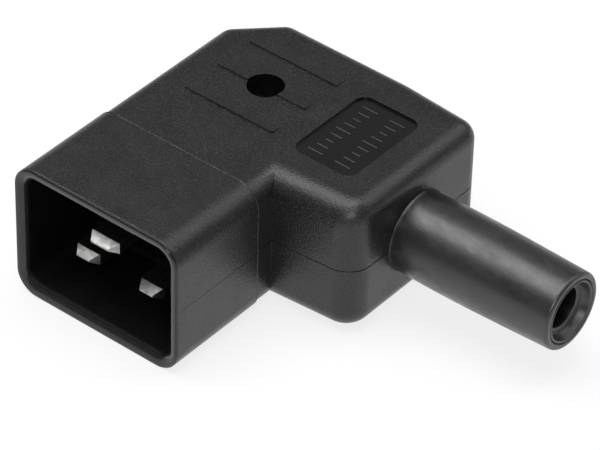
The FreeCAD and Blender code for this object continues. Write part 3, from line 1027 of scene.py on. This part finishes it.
@dataclass
class PinShroud:
    """The shroud round the pins, with its base and the grooved stub that the cover grips."""

    half_width: float = 16.5
    half_height: float = 12.5
    length: float = AT.joint
    round: float = 4.1
    side_wall: float = 1.9
    flat_wall: float = 2.2
    recess_depth: float = 17.3
    recess_round: float = 2.3
    floor_round: float = 0.5
    rim_face: float = 0.32
    lead_in_depth: float = 1.45
    polished_mouth: float = 0.55
    rim_chamfer: float = 0.22
    rim_groove: tuple[float, float, float] = (0.24, 0.48, 0.72)
    rim_groove_depth: float = 0.1
    stub_half_width: float = 14.0
    stub_half_height: float = 10.0
    stub_round: float = 1.5
    groove: tuple[float, float] = (AT.joint + 2.0, AT.joint + 3.6)
    groove_depth: float = 1.0
    groove_round: float = 0.5
    stub_end: float = AT.stub_end
    bead: tuple[float, float] = (0.45, 0.24)
    bead_depth: float = 0.055
    bead_fall: float = 0.08
    back_chamfer: float = 0.1
    corner_steps: int = 16
    lead_in_steps: int = 12
    parting_width: float = 0.12
    parting_depth: float = 0.09
    parting_brim: float = 0.1
    parting_overrun: float = 0.3
    slots: tuple[tuple[float, float, float], ...] = (
        (-POLE_X, POLE_Z, POLE_WIDTH), (POLE_X, POLE_Z, POLE_WIDTH), (0.0, EARTH_Z, EARTH_WIDTH))
    pin_thickness: float = 2.0
    pin_fit: float = 0.05

    def _ring(self, half_width: float, half_height: float, radius: float,
              y: float) -> list[Vector]:
        """A rounded rectangle square to the mating axis.

        Args:
            half_width: half its width.
            half_height: half its height.
            radius: the radius of its corners.
            y: its place along the axis.

        Returns:
            Its points.
        """
        corners = rectangle(-half_width, -half_height, half_width, half_height)
        outline = rounded([Corner(x, z, radius) for x, z in corners], steps=self.corner_steps)
        return [Axis.Y.point(x, z, y) for x, z in outline]

    def _rings(self) -> list[list[Vector]]:
        """Step from the recess's floor round the rim to the stub's end.

        Returns:
            The rings in order.
        """
        recess_x, recess_z = self.half_width - self.side_wall, self.half_height - self.flat_wall
        outside = (self.half_width, self.half_height, self.round)
        stub = (self.stub_half_width, self.stub_half_height, self.stub_round)
        groove = (*shrunk(stub[:2], self.groove_depth), self.groove_round)
        inside = (recess_x, recess_z, self.recess_round)
        rings = [self._ring(*shrunk(inside, self.floor_round), self.recess_depth),
                 self._ring(*inside, self.recess_depth - self.floor_round)]
        for step in range(self.lead_in_steps + 1):
            turn = math.pi / 2 * step / self.lead_in_steps
            flare = 1 - math.cos(turn)
            flared = (near + (far - self.rim_face - near) * flare
                      for near, far in zip(inside, outside))
            rings.append(self._ring(*flared, self.lead_in_depth * (1 - math.sin(turn))))
        groove_start, groove_floor, groove_end = self.rim_groove
        bead_start, bead_end = self.length - self.bead[0], self.length - self.bead[1]
        return rings + [
            self._ring(*shrunk(outside, self.rim_chamfer), 0.0),
            self._ring(*outside, self.rim_chamfer),
            self._ring(*outside, groove_start),
            self._ring(*shrunk(outside, self.rim_groove_depth), groove_floor),
            self._ring(*outside, groove_end),
            self._ring(*outside, bead_start - self.bead_fall),
            self._ring(*shrunk(outside, self.bead_depth), bead_start),
            self._ring(*outside, bead_end),
            self._ring(*outside, self.length - self.back_chamfer),
            self._ring(*shrunk(outside, self.back_chamfer), self.length),
            self._ring(*stub, self.length),
            self._ring(*stub, self.groove[0]), self._ring(*groove, self.groove[0]),
            self._ring(*groove, self.groove[1]), self._ring(*stub, self.groove[1]),
            self._ring(*stub, self.stub_end)]

    def _region(self, centre: Vector, normal: Vector) -> int:
        """Textured outside, polished rim, satin recess in a darker copy whose colour is painted
        shade.

        Args:
            centre: a face's centre.
            normal: its direction.

        Returns:
            The number of its finish.
        """
        tolerance = 0.1
        outside = centre.x * normal.x + centre.z * normal.z > tolerance
        if centre.y < (self.rim_groove[1] if outside else self.polished_mouth):
            return 1
        return 0 if outside or centre.y > self.recess_depth + tolerance else 2

    def build(self) -> bpy.types.Object:
        """Loft the shroud, cut the parting lines and the pins' slots, and show it.

        Returns:
            The shroud.
        """
        solid = Solid.loft(self._rings())
        for side in (1, -1):
            edge = self.half_width * side
            brim = edge + self.parting_brim * side
            notch = [(brim, -self.parting_width), (edge - self.parting_depth * side, 0),
                     (brim, self.parting_width)]
            solid -= Solid.prism(notch, self.rim_groove[2], self.length + self.parting_overrun,
                                 Axis.Y)
        for x, z, width in self.slots:
            half_width = width / 2 + self.pin_fit
            half_height = self.pin_thickness / 2 + self.pin_fit
            slot = rectangle(x - half_width, z - half_height, x + half_width, z + half_height)
            solid -= Solid.prism(slot, self.recess_depth - CLEARANCE, self.stub_end + CLEARANCE,
                                 Axis.Y)
        return shown(solid, "shroud",
                     (Finish.SHROUD, Finish.SHROUD_POLISHED, Finish.SHROUD_RECESS_PAINTED_SHADE),
                     ("pin_shroud",), self._region, edge_mm=0.05)


@dataclass
class FlatPin:
    """A flat pin with a chisel tip and a pillar terminal behind the shroud's base."""

    node: str
    x: float
    z: float
    width: float
    setback: float
    bevel: float
    side_bevel: float
    wire_from_side: bool = False
    thickness: float = PinShroud.pin_thickness
    tip_thickness: float = 0.3
    tip_side_inset: float = 1.05
    stub_end: float = AT.stub_end
    terminal_width: float = 7.0
    terminal_height: float = 6.0
    terminal_length: float = 8.0
    wire_hole_radius: float = 1.8
    wire_hole_depth: float = 5.6
    thread_radius: float = 1.55

    def _blade(self) -> Solid:
        """Plane the tip of a flat bar on its four sides.

        Returns:
            The blade.
        """
        half = self.thickness / 2
        bar = rectangle(self.x - self.width / 2, self.z - half,
                        self.x + self.width / 2, self.z + half)
        solid = Solid.prism(bar, self.setback, self.stub_end + CLEARANCE, Axis.Y)
        fall = half - self.tip_thickness / 2
        for side in (1, -1):
            place = Vector((self.x, self.setback + self.bevel, self.z + half * side))
            solid = solid.sliced(place, Vector((0, -fall, self.bevel * side)))
            place = Vector((self.x + self.width / 2 * side, self.setback + self.side_bevel, 0))
            solid = solid.sliced(
                place, Vector((self.side_bevel * side, -self.tip_side_inset, 0)))
        return solid

    def build(self) -> bpy.types.Object:
        """Join blade and terminal, bore its holes and show the pin.

        Returns:
            The pin.
        """
        top = node_box(self.node)[1].z
        middle = self.stub_end + self.terminal_length / 2
        back = self.stub_end + self.terminal_length
        half = self.terminal_width / 2
        block = rectangle(self.x - half, top - self.terminal_height, self.x + half, top)
        solid = self._blade() + Solid.prism(block, self.stub_end, back, Axis.Y)
        wire_z = top - self.terminal_height / 2
        if self.wire_from_side:
            bore = Solid.prism(circle_outline(middle, wire_z, self.wire_hole_radius),
                               self.x + half - self.wire_hole_depth,
                               self.x + half + CLEARANCE, Axis.X)
        else:
            bore = Solid.prism(circle_outline(self.x, wire_z, self.wire_hole_radius),
                               back - self.wire_hole_depth, back + CLEARANCE, Axis.Y)
        thread = Solid.prism(circle_outline(self.x, middle, self.thread_radius, HOLE_FACETS),
                             wire_z, top + CLEARANCE)
        return shown(solid - bore - thread, self.node + "_plated", (Finish.NICKEL,),
                     (self.node,), edge_mm=0.1, edge_limit=18.0)


@dataclass
class Cover:
    """The two halves of the cover: shell, seam, ribs, collars, holes and grip ridges."""

    neck_half_width: float = 16.1
    front: float = AT.joint
    block_front: float = AT.joint + 3.5
    block_front_right: float = AT.joint + 4.6
    block_right: float = AT.wall
    block_back: float = AT.back
    block_back_right: float = AT.back - 1.2
    corner_cut: float = 7.8
    top: float = 12.1
    wall: float = 2.0
    edge_round: float = 3.3
    front_edge_round: float = 4.4
    front_corner_round: float = 4.5
    back_bend_round: float = 8.0
    seam_chamfer: float = 0.07
    seam_gap: float = 0.05
    seam_depth: float = 0.35
    lip_height: float = 0.8
    lip_thickness: float = 0.9
    fit: float = 0.1
    root: float = 0.5
    edge_steps: int = 18
    corner_steps: int = 14
    bore_facets: int = 96
    access_facets: int = 80
    screw_hole_facets: int = 48
    screw_y: float = AT.screw_y
    access_radius: float = 3.075
    boss_wall: float = 1.2
    head_seat_level: float = 3.0
    screw_hole_radius: float = 1.7
    nut_seat_depth: float = 7.2
    nut_width: float = 5.5
    sleeve_y: float = AT.cord_y
    sleeve_hole_radius: float = 7.05
    collar_hole_radius: float = 6.2
    collar: tuple[float, float] = (25.9, 27.4)
    collar_half_span: float = 10.6
    stub_half_width: float = PinShroud.stub_half_width
    stub_half_height: float = PinShroud.stub_half_height
    groove: tuple[float, float] = (AT.joint + 2.1, AT.joint + 3.5)
    groove_depth: float = PinShroud.groove_depth
    stub_end: float = PinShroud.stub_end
    label: tuple[float, float, float, float] = (13.0, AT.joint + 11.4, 24.9, AT.joint + 29.5)
    label_round: float = 2.0
    label_depth: float = 0.4
    clamp_x: float = AT.clamp_x
    clamp_width: float = 6.0
    clamp_screw_offset: float = 8.0
    clamp_seat_level: float = 1.0
    clamp_post_radius: float = 3.0
    clamp_screw_depth: float = 8.0
    small_thread_radius: float = 1.55
    saddle_radius: float = 3.6
    cord_rest_half_span: float = 6.0
    cord_rest_drop: float = 1.2
    ridges: GripRidges = field(default_factory=GripRidges)
    marks: FieldMarks = field(default_factory=FieldMarks)

    @property
    def ceiling(self) -> float:
        """Height of the cavity."""
        return self.top - self.wall

    def _plan(self, front: float | None = None) -> list[Corner]:
        """The cover's corners from above, from the neck's front left corner.

        Args:
            front: where the neck begins; the joint with the shroud if it isn't given.

        Returns:
            The corners with their radii.
        """
        left, right = -self.neck_half_width, self.block_right
        front = self.front if front is None else front
        cut, back = self.corner_cut, self.block_back
        return [
            Corner(left, front), Corner(-left, front), Corner(-left, self.block_front),
            Corner(right, self.block_front_right, self.front_corner_round),
            Corner(right, self.block_back_right, self.edge_round),
            Corner(-left, back, self.back_bend_round),
            Corner(left + cut, back, self.edge_round),
            Corner(left, back - cut, self.edge_round)]

    def _shell(self, front_edge_round: float) -> Solid:
        """The outer form above the split: seam rebate, wall and rounded upper edge.

        Args:
            front_edge_round: radius of the edge over the block's front.

        Returns:
            The solid form.
        """
        corners = self._plan()
        levels = [(self.seam_depth, self.seam_depth, 0.0),
                  (self.seam_depth, self.seam_depth, self.seam_gap),
                  (self.seam_chamfer, self.seam_chamfer, self.seam_gap),
                  (0.0, 0.0, self.seam_gap + self.seam_chamfer)]
        for step in range(self.edge_steps + 1):
            turn = math.pi / 2 * step / self.edge_steps
            drop = front_edge_round * (1 - math.sin(turn))
            rise = max(self.edge_round - drop, 0.0)
            levels.append((self.edge_round - math.sqrt(self.edge_round ** 2 - rise ** 2),
                           front_edge_round * (1 - math.cos(turn)), self.top - drop))
        return Solid.loft([
            [Vector((x, y, z)) for x, y in rounded(
                corners, inset, fixed=(0,), steps=self.corner_steps, own={2: front_inset})]
            for inset, front_inset, z in levels])

    def _lip_band(self, gap: float, low: float, high: float) -> Solid:
        """The band along the walls where the lower half's lip stands.

        Args:
            gap: how much it is widened on either side.
            low: its lower edge.
            high: its upper edge.

        Returns:
            The band.
        """
        outer = rounded(self._plan(self.stub_end), self.wall - self.lip_thickness - gap,
                        fixed=(0,))
        inner = rounded(self._plan(self.stub_end - CLEARANCE), self.wall + gap, fixed=(0,))
        return Solid.prism(outer, low, high) - Solid.prism(inner, low - CLEARANCE,
                                                           high + CLEARANCE)

    def _hollowed(self, front_edge_round: float) -> Solid:
        """The shell with its ridges, cavity, neck rib, screw boss and collar.

        Args:
            front_edge_round: radius of the edge over the block's front.

        Returns:
            The hollow half, not bored yet.
        """
        solid = self._shell(front_edge_round) + self.ridges.solid(self.top)
        cavity = rounded(self._plan(self.front - self.wall), self.wall, fixed=(0,))
        solid -= Solid.prism(cavity, -CLEARANCE, self.ceiling)
        outer_x = self.stub_half_width + self.fit + self.root
        inner_x = self.stub_half_width - self.groove_depth + self.fit
        inner_z = self.stub_half_height - self.groove_depth + self.fit
        top = self.ceiling + self.root
        rib = [(-outer_x, 0), (-inner_x, 0), (-inner_x, inner_z), (inner_x, inner_z),
               (inner_x, 0), (outer_x, 0), (outer_x, top), (-outer_x, top)]
        solid += Solid.prism(rib, *self.groove, Axis.Y)
        boss = circle_outline(0, self.screw_y, self.access_radius + self.boss_wall)
        solid += Solid.prism(boss, 0.0, top)
        low, high = self.sleeve_y - self.collar_half_span, self.sleeve_y + self.collar_half_span
        return solid + Solid.prism(rectangle(low, 0, high, top), *self.collar, Axis.X)

    def _bored(self, solid: Solid) -> Solid:
        """Bore the sleeve's hole and the collar's smaller one.

        Args:
            solid: a half of the cover.

        Returns:
            The bored half.
        """
        overrun = 0.1
        hole = circle_outline(self.sleeve_y, 0, self.sleeve_hole_radius, self.bore_facets)
        solid -= Solid.prism(hole, self.block_right - self.wall - overrun,
                             self.block_right + CLEARANCE, Axis.X)
        throat = circle_outline(self.sleeve_y, 0, self.collar_hole_radius, self.bore_facets)
        return solid - Solid.prism(throat, self.collar[0] - overrun, self.collar[1] + overrun,
                                   Axis.X)

    def _region(self, centre: Vector, normal: Vector) -> int:
        """Polished label floor and access hole, textured elsewhere.

        Args:
            centre: a face's centre.
            normal: its direction.

        Returns:
            The number of its finish.
        """
        left, front, right, back = self.label
        below, beside, under_top = 0.1, 0.01, 0.02
        over_floor = centre.z > self.top - self.label_depth - below
        on_label = left < centre.x < right and front < centre.y < back and over_floor
        in_hole = math.hypot(centre.x, centre.y - self.screw_y) < self.access_radius + beside
        return 1 if (on_label or in_hole) and centre.z < self.top - under_top else 0

    def _upper(self) -> Solid:
        """Cut the access hole, the label recess and the rebate for the lip.

        Returns:
            The upper half.
        """
        solid = self._hollowed(self.front_edge_round)
        solid = self._bored(
            solid - self._lip_band(self.fit, -CLEARANCE, self.lip_height + self.fit))
        access = circle_outline(0, self.screw_y, self.access_radius, self.access_facets)
        solid -= Solid.prism(access, self.head_seat_level, self.top + CLEARANCE)
        solid -= Solid.prism(self._screw_hole(), -CLEARANCE, self.head_seat_level + CLEARANCE)
        corners = [Corner(x, y, self.label_round) for x, y in rectangle(*self.label)]
        floor = self.top - self.label_depth
        solid -= Solid.prism(rounded(corners), floor, self.top + CLEARANCE)
        return solid + self.marks.solid(floor)

    def _screw_hole(self) -> list[Point]:
        """The outline of the hole for the screw that joins the halves."""
        return circle_outline(0, self.screw_y, self.screw_hole_radius, self.screw_hole_facets)

    def _pocket(self) -> list[Point]:
        """Outline the nut's pocket, a hexagon measured across its flats.

        Returns:
            The hexagon's corners.
        """
        corner = (self.nut_width + self.fit * 2) / 2 / math.cos(math.pi / 6)
        return [(corner * math.cos(math.pi / 3 * number),
                 self.screw_y + corner * math.sin(math.pi / 3 * number)) for number in range(6)]

    def _lower(self) -> Solid:
        """Cut the nut's pocket and stand the lip, the cord's rest and the clamp's posts in it.

        Returns:
            The lower half.
        """
        solid = self._hollowed(self.edge_round)
        solid -= Solid.prism(self._pocket(), self.nut_seat_depth, self.top + CLEARANCE)
        solid -= Solid.prism(self._screw_hole(), -CLEARANCE, self.nut_seat_depth + CLEARANCE)
        half = self.clamp_width / 2
        span = self.cord_rest_half_span
        top = self.ceiling + self.root
        rest = rectangle(self.clamp_x - half, self.sleeve_y - span,
                         self.clamp_x + half, self.sleeve_y + span)
        solid += Solid.prism(rest, self.cord_rest_drop, top)
        solid = solid.moved(Matrix.Scale(-1.0, 4, Vector((0, 0, 1))))
        screws = [self.sleeve_y + self.clamp_screw_offset * side for side in (-1, 1)]
        for y in screws:
            post = circle_outline(self.clamp_x, y, self.clamp_post_radius)
            solid += Solid.prism(post, -top, self.clamp_seat_level)
        solid += self._lip_band(0.0, -self.root, self.lip_height)
        saddle = circle_outline(self.sleeve_y, 0, self.saddle_radius)
        solid -= Solid.prism(saddle, self.clamp_x - half - self.root,
                             self.clamp_x + half + self.root, Axis.X)
        for y in screws:
            thread = circle_outline(self.clamp_x, y, self.small_thread_radius, HOLE_FACETS)
            solid -= Solid.prism(thread, self.clamp_seat_level - self.clamp_screw_depth,
                                 self.clamp_seat_level + CLEARANCE)
        return self._bored(solid)

    def build(self) -> list[bpy.types.Object]:
        """Show both halves.

        Returns:
            The upper and the lower half.
        """
        finishes = (Finish.COVER, Finish.COVER_POLISHED)
        return [
            shown(self._upper(), "cover_upper", finishes, ("upper_housing",), self._region,
                  edge_mm=0.08),
            shown(self._lower(), "cover_lower", finishes, ("lower_housing",), edge_mm=0.05),
        ]


@dataclass
class BendReliefSleeve:
    """The sleeve at the cord exit, turned about the cord's axis."""

    y: float = AT.cord_y
    wall_face: float = AT.wall
    end: float = node_box("bend_relief_sleeve")[1].x
    base_radius: float = 6.85
    tip_radius: float = 6.6
    base_bead: float = 0.24
    base_bead_span: tuple[float, float] = (0.03, 0.12)
    swell: float = 0.3
    bore_radius: float = 3.35
    flange: tuple[float, float] = (27.5, 29.4)
    flange_radius: float = 9.0
    tail_radius: float = 6.1
    tail_start: float = 25.9
    end_round: float = 0.6
    end_steps: int = 8
    facets: int = 112
    swell_places: tuple[float, ...] = (0.02, 0.12, 0.24, 0.36, 0.48, 0.6, 0.72, 0.86)
    mouth_depth: float = 3.0
    mouth: tuple[Point, ...] = (
        (0.0, 5.72), (0.05, 5.62), (0.32, 5.46), (0.12, 5.3), (0.03, 5.2), (0.03, 5.1),
        (0.12, 4.98), (0.3, 4.9), (0.8, 4.74), (1.25, 4.5), (1.42, 4.36), (1.46, 4.12),
        (1.58, 4.04), (1.62, 3.68), (1.74, 3.48), (2.1, 3.38))

    def _radius(self, x: float) -> float:
        """Outer radius: a gentle swell on a slight taper.

        Args:
            x: the place along the axis.

        Returns:
            The radius there.
        """
        share = (x - self.wall_face) / (self.end - self.wall_face)
        taper = self.base_radius + (self.tip_radius - self.base_radius) * share
        return taper + self.swell * math.sin(math.pi * share ** 0.7)

    def _profile(self) -> list[Point]:
        """Step from the tail over the outside to the mouth and back through the bore.

        Returns:
            The section's points.
        """
        bead_start, bead_end = (self.wall_face + place for place in self.base_bead_span)
        points = [(self.tail_start, self.bore_radius), (self.tail_start, self.tail_radius),
                  (self.flange[0], self.tail_radius), (self.flange[0], self.flange_radius),
                  (self.flange[1], self.flange_radius), (self.flange[1], self.base_radius),
                  (bead_start, self.base_radius),
                  (bead_start, self.base_radius + self.base_bead),
                  (bead_end, self.base_radius + self.base_bead)]
        centre_x = self.end - self.end_round
        for share in self.swell_places:
            x = self.wall_face + (centre_x - self.wall_face) * share
            points.append((x, self._radius(x)))
        centre_r = self._radius(centre_x) - self.end_round
        for step in range(self.end_steps + 1):
            turn = math.pi / 2 * step / self.end_steps
            points.append((centre_x + self.end_round * math.sin(turn),
                           centre_r + self.end_round * math.cos(turn)))
        points += [(self.end - depth, radius) for depth, radius in self.mouth]
        return points + [(self.end - self.mouth_depth, self.bore_radius)]

    def build(self) -> bpy.types.Object:
        """Turn the section and show the sleeve."""
        return shown(Solid.lathe(self._profile(), self.y, 0.0, steps=self.facets), "cord_sleeve",
                     (Finish.RUBBER,), ("bend_relief_sleeve",), edge_mm=0.04)


@dataclass
class CordClamp:
    """The bar that two screws press down on the cord."""

    x: float = AT.clamp_x
    y: float = AT.cord_y
    width: float = Cover.clamp_width
    half_span: float = 11.3
    seat_level: float = Cover.clamp_seat_level
    thickness: float = 5.0
    corner_round: float = 1.5
    saddle_radius: float = Cover.saddle_radius
    screw_offset: float = Cover.clamp_screw_offset
    hole_radius: float = 1.7
    corner_steps: int = 8

    @property
    def top(self) -> float:
        """Height of the bar's upper face."""
        return self.seat_level + self.thickness

    def build(self) -> bpy.types.Object:
        """Push the bar up, cut its saddle and holes, and show it.

        Returns:
            The clamp.
        """
        half = self.width / 2
        plan = rectangle(self.x - half, self.y - self.half_span,
                         self.x + half, self.y + self.half_span)
        corners = [Corner(x, y, self.corner_round) for x, y in plan]
        solid = Solid.prism(rounded(corners, steps=self.corner_steps), self.seat_level, self.top)
        saddle = circle_outline(self.y, 0, self.saddle_radius)
        solid -= Solid.prism(saddle, self.x - self.width, self.x + self.width, Axis.X)
        for side in (-1, 1):
            hole = circle_outline(self.x, self.y + self.screw_offset * side, self.hole_radius,
                                  HOLE_FACETS)
            solid -= Solid.prism(hole, self.seat_level - CLEARANCE, self.top + CLEARANCE)
        return shown(solid, "cord_clamp", (Finish.CLAMP,), ("cord_clamp_bar",), edge_mm=0.12)


@dataclass
class HousingNut:
    """The hexagon nut in the pocket of the lower half."""

    y: float = AT.screw_y
    seat: float = -Cover.nut_seat_depth
    width: float = Cover.nut_width
    height: float = 2.4
    hole_radius: float = 1.55
    corner_fall: float = 0.22
    corner_inset: float = 0.35
    corner_shares: tuple[float, ...] = (1.0, 0.75, 0.5, 0.25, 0.0)
    facets: int = 72

    def _section(self, turned_radius: float, level: float) -> list[Vector]:
        """The hexagon at one level, with its corners turned down.

        Args:
            turned_radius: the radius that they are turned to.
            level: the level.

        Returns:
            The section's points.
        """
        ring: list[Vector] = []
        for number in range(self.facets):
            turn = math.tau * number / self.facets
            flat_radius = self.width / 2 / math.cos(turn % (math.pi / 3) - math.pi / 6)
            radius = min(flat_radius, turned_radius)
            ring.append(Vector((radius * math.cos(turn), self.y + radius * math.sin(turn), level)))
        return ring

    def build(self) -> bpy.types.Object:
        """Stack the sections from the turned lower end to the upper one, bore and show the nut.

        Returns:
            The nut.
        """
        corner = self.width / 2 / math.cos(math.pi / 6)
        low, high = self.seat - self.height, self.seat
        ends = [(corner - self.corner_inset * share, self.corner_fall * (1 - share))
                for share in self.corner_shares]
        rings = [self._section(radius, low + rise) for radius, rise in ends]
        rings += [self._section(radius, high - rise) for radius, rise in reversed(ends)]
        hole = Solid.prism(circle_outline(0, self.y, self.hole_radius, HOLE_FACETS),
                           low - CLEARANCE, high + CLEARANCE)
        return shown(Solid.loft(rings) - hole, "cover_nut", (Finish.ZINC,), ("housing_nut",),
                     edge_mm=0.04)


# ---------------------------------------------------------------------------------------------
# Stage
# ---------------------------------------------------------------------------------------------

@dataclass(frozen=True)
class Softbox:
    """A rectangular lamp that faces the plug.

    Attributes:
        name: its name.
        direction: where it hangs, seen from the plug.
        size: its two sides.
        watts: its power.
        distance: how far away it hangs.
    """

    name: str
    direction: tuple[float, float, float]
    size: tuple[float, float]
    watts: float
    distance: float = 700.0

    def hang(self, middle: Vector) -> None:
        """Hang the lamp.

        Args:
            middle: the place that it faces.
        """
        lamp = bpy.data.lights.new(self.name, "AREA")
        lamp.shape = "RECTANGLE"
        lamp.size, lamp.size_y = (side * MM for side in self.size)
        lamp.energy = self.watts
        made = placed(self.name, lamp)
        direction = Vector(self.direction)
        made.location = (middle + direction.normalized() * self.distance) * MM
        made.rotation_euler = direction.to_track_quat("Z", "Y").to_euler()


@dataclass
class Studio:
    """Plain pale floor, soft light and the camera."""

    middle: tuple[float, float, float] = (20.0, 30.0, 0.0)
    floor_level: float = -12.5
    floor_span: float = 6000.0
    floor_white: float = 0.93
    floor_mottle: float = 0.03
    floor_glow: float = 0.77
    fibre_mm: float = 1.4
    sky: tuple[float, float, float, float] = (0.985, 0.99, 1.0, 1.0)
    sky_light: float = 0.3
    softboxes: tuple[Softbox, ...] = (
        Softbox("overhead", (-0.22, -0.09, 0.97), (540.0, 760.0), 4.25),
        Softbox("back", (0.3, 0.61, 0.73), (500.0, 500.0), 1.0),
        Softbox("front", (0.42, -0.64, 0.62), (280.0, 280.0), 1.3))
    camera_place: tuple[float, float, float] = (307.2, -337.5, 382.4)
    azimuth: float = 38.37
    elevation: float = 39.28
    roll: float = 1.59
    lens: float = 232.4
    sensor: float = 36.0
    clip: tuple[float, float] = (0.01, 20.0)

    def floor(self) -> None:
        """Lay the floor: white paper that keeps the shadow and shows white where it is lit."""
        half = self.floor_span / 2 * MM
        level = self.floor_level * MM
        mesh = bpy.data.meshes.new("floor")
        mesh.from_pydata([(x, y, level) for x, y in rectangle(-half, -half, half, half)], [],
                         [(0, 1, 2, 3)])
        made = placed("floor", mesh)
        sheet = MaterialSheet("white_paper")
        dark, light = self.floor_white, self.floor_white + self.floor_mottle
        sheet.set(Base_Color=sheet.tint(sheet.noise(self.fibre_mm), (dark,) * 3, (light,) * 3),
                  Roughness=0.9, Specular_IOR_Level=0.1)
        glow = sheet.output("ShaderNodeEmission", {0: WHITE, 1: 1.0})
        path = sheet.node("ShaderNodeLightPath")
        seen = Value(sheet, path.outputs["Is Camera Ray"]) * self.floor_glow
        mirrored = Value(sheet, path.outputs["Is Glossy Ray"])
        sheet.feed(sheet.end.inputs[0], sheet.output("ShaderNodeMixShader", {
            0: seen + mirrored, 1: sheet.shader.outputs[0], 2: glow}))
        mesh.materials.append(sheet.material)

    def world(self) -> None:
        """Even surroundings: white to the camera, softer as light and in reflections."""
        made = bpy.data.worlds.new("studio")
        bpy.context.scene.world = made
        made.use_nodes = True
        made.node_tree.nodes.clear()
        sheet = Sheet(made.node_tree)
        soft = sheet.output("ShaderNodeBackground", {0: self.sky, 1: self.sky_light})
        white = sheet.output("ShaderNodeBackground", {0: WHITE, 1: 1.0})
        seen = sheet.node("ShaderNodeLightPath").outputs["Is Camera Ray"]
        mixed = sheet.output("ShaderNodeMixShader", {0: seen, 1: soft, 2: white})
        sheet.node("ShaderNodeOutputWorld", inputs={0: mixed})

    def camera(self) -> None:
        """Set the camera up from its place, its three angles and its lens."""
        turn, rise, roll = (math.radians(angle) for angle in
                            (self.azimuth, self.elevation, self.roll))
        back = Vector((math.sin(turn) * math.cos(rise), -math.cos(turn) * math.cos(rise),
                       math.sin(rise)))
        level = Vector((math.cos(turn), math.sin(turn), 0.0))
        upright = back.cross(level)
        right = level * math.cos(roll) + upright * math.sin(roll)
        up = upright * math.cos(roll) - level * math.sin(roll)
        lens = bpy.data.cameras.new("camera")
        lens.lens = self.lens
        lens.sensor_width = self.sensor
        lens.clip_start, lens.clip_end = self.clip
        made = placed("camera", lens)
        made.matrix_world = Matrix.Translation(Vector(self.camera_place) * MM) @ Matrix(
            (right, up, back)).transposed().to_4x4()
        bpy.context.scene.camera = made

    def build(self) -> None:
        """Set up floor, world, lamps, camera and view."""
        self.floor()
        self.world()
        for softbox in self.softboxes:
            softbox.hang(Vector(self.middle))
        self.camera()
        bpy.context.scene.view_settings.view_transform = "Standard"


def pins() -> list[FlatPin]:
    """The pins, each with its own distance from the mouth and its own bevels.

    Returns:
        Line, neutral and earth pin.
    """
    return [
        FlatPin("line_pin", POLE_X, POLE_Z, POLE_WIDTH, setback=4.5, bevel=1.5, side_bevel=1.85),
        FlatPin("neutral_pin", -POLE_X, POLE_Z, POLE_WIDTH, setback=4.5, bevel=1.37,
                side_bevel=1.5),
        FlatPin("earth_pin", 0.0, EARTH_Z, EARTH_WIDTH, setback=1.2, bevel=1.5, side_bevel=1.55,
                wire_from_side=True)]


def screws() -> list[SlottedScrews]:
    """The screws of the terminals, of the clamp and of the cover.

    Returns:
        A row of screws for each size.
    """
    pole_seat, earth_seat = node_box("line_pin")[1].z, node_box("earth_pin")[1].z
    terminals = ((POLE_X, pole_seat), (-POLE_X, pole_seat), (0.0, earth_seat))
    clamp = CordClamp()
    return [
        SlottedScrews(
            "terminal_screws",
            ("line_terminal_screw", "neutral_terminal_screw", "earth_terminal_screw"),
            tuple(Vector((x, AT.terminal_y, seat)) for x, seat in terminals), reach=2.6),
        SlottedScrews(
            "clamp_screws", ("cord_clamp_screw_front", "cord_clamp_screw_rear"),
            tuple(Vector((clamp.x, clamp.y + clamp.screw_offset * side, clamp.top))
                  for side in (-1, 1)), reach=12.5),
        SlottedScrews(
            "cover_screw", ("housing_screw",),
            (Vector((0.0, AT.screw_y, Cover.head_seat_level)),),
            reach=12.9, head_radius=2.75, head_height=2.2)]


def main() -> None:
    """Build the plug piece by piece, then its stage, and log each piece's name."""
    logging.basicConfig(level=logging.INFO, format="%(name)s: %(message)s")
    LOG.info("shroud: %s", PinShroud().build().name)
    for pin in pins():
        LOG.info("pin: %s", pin.build().name)
    for half in Cover().build():
        LOG.info("cover: %s", half.name)
    LOG.info("sleeve: %s", BendReliefSleeve().build().name)
    LOG.info("clamp: %s", CordClamp().build().name)
    LOG.info("nut: %s", HousingNut().build().name)
    for row in screws():
        LOG.info("screws: %s", row.build().name)
    Studio().build()


if __name__ == "__main__":
    main()
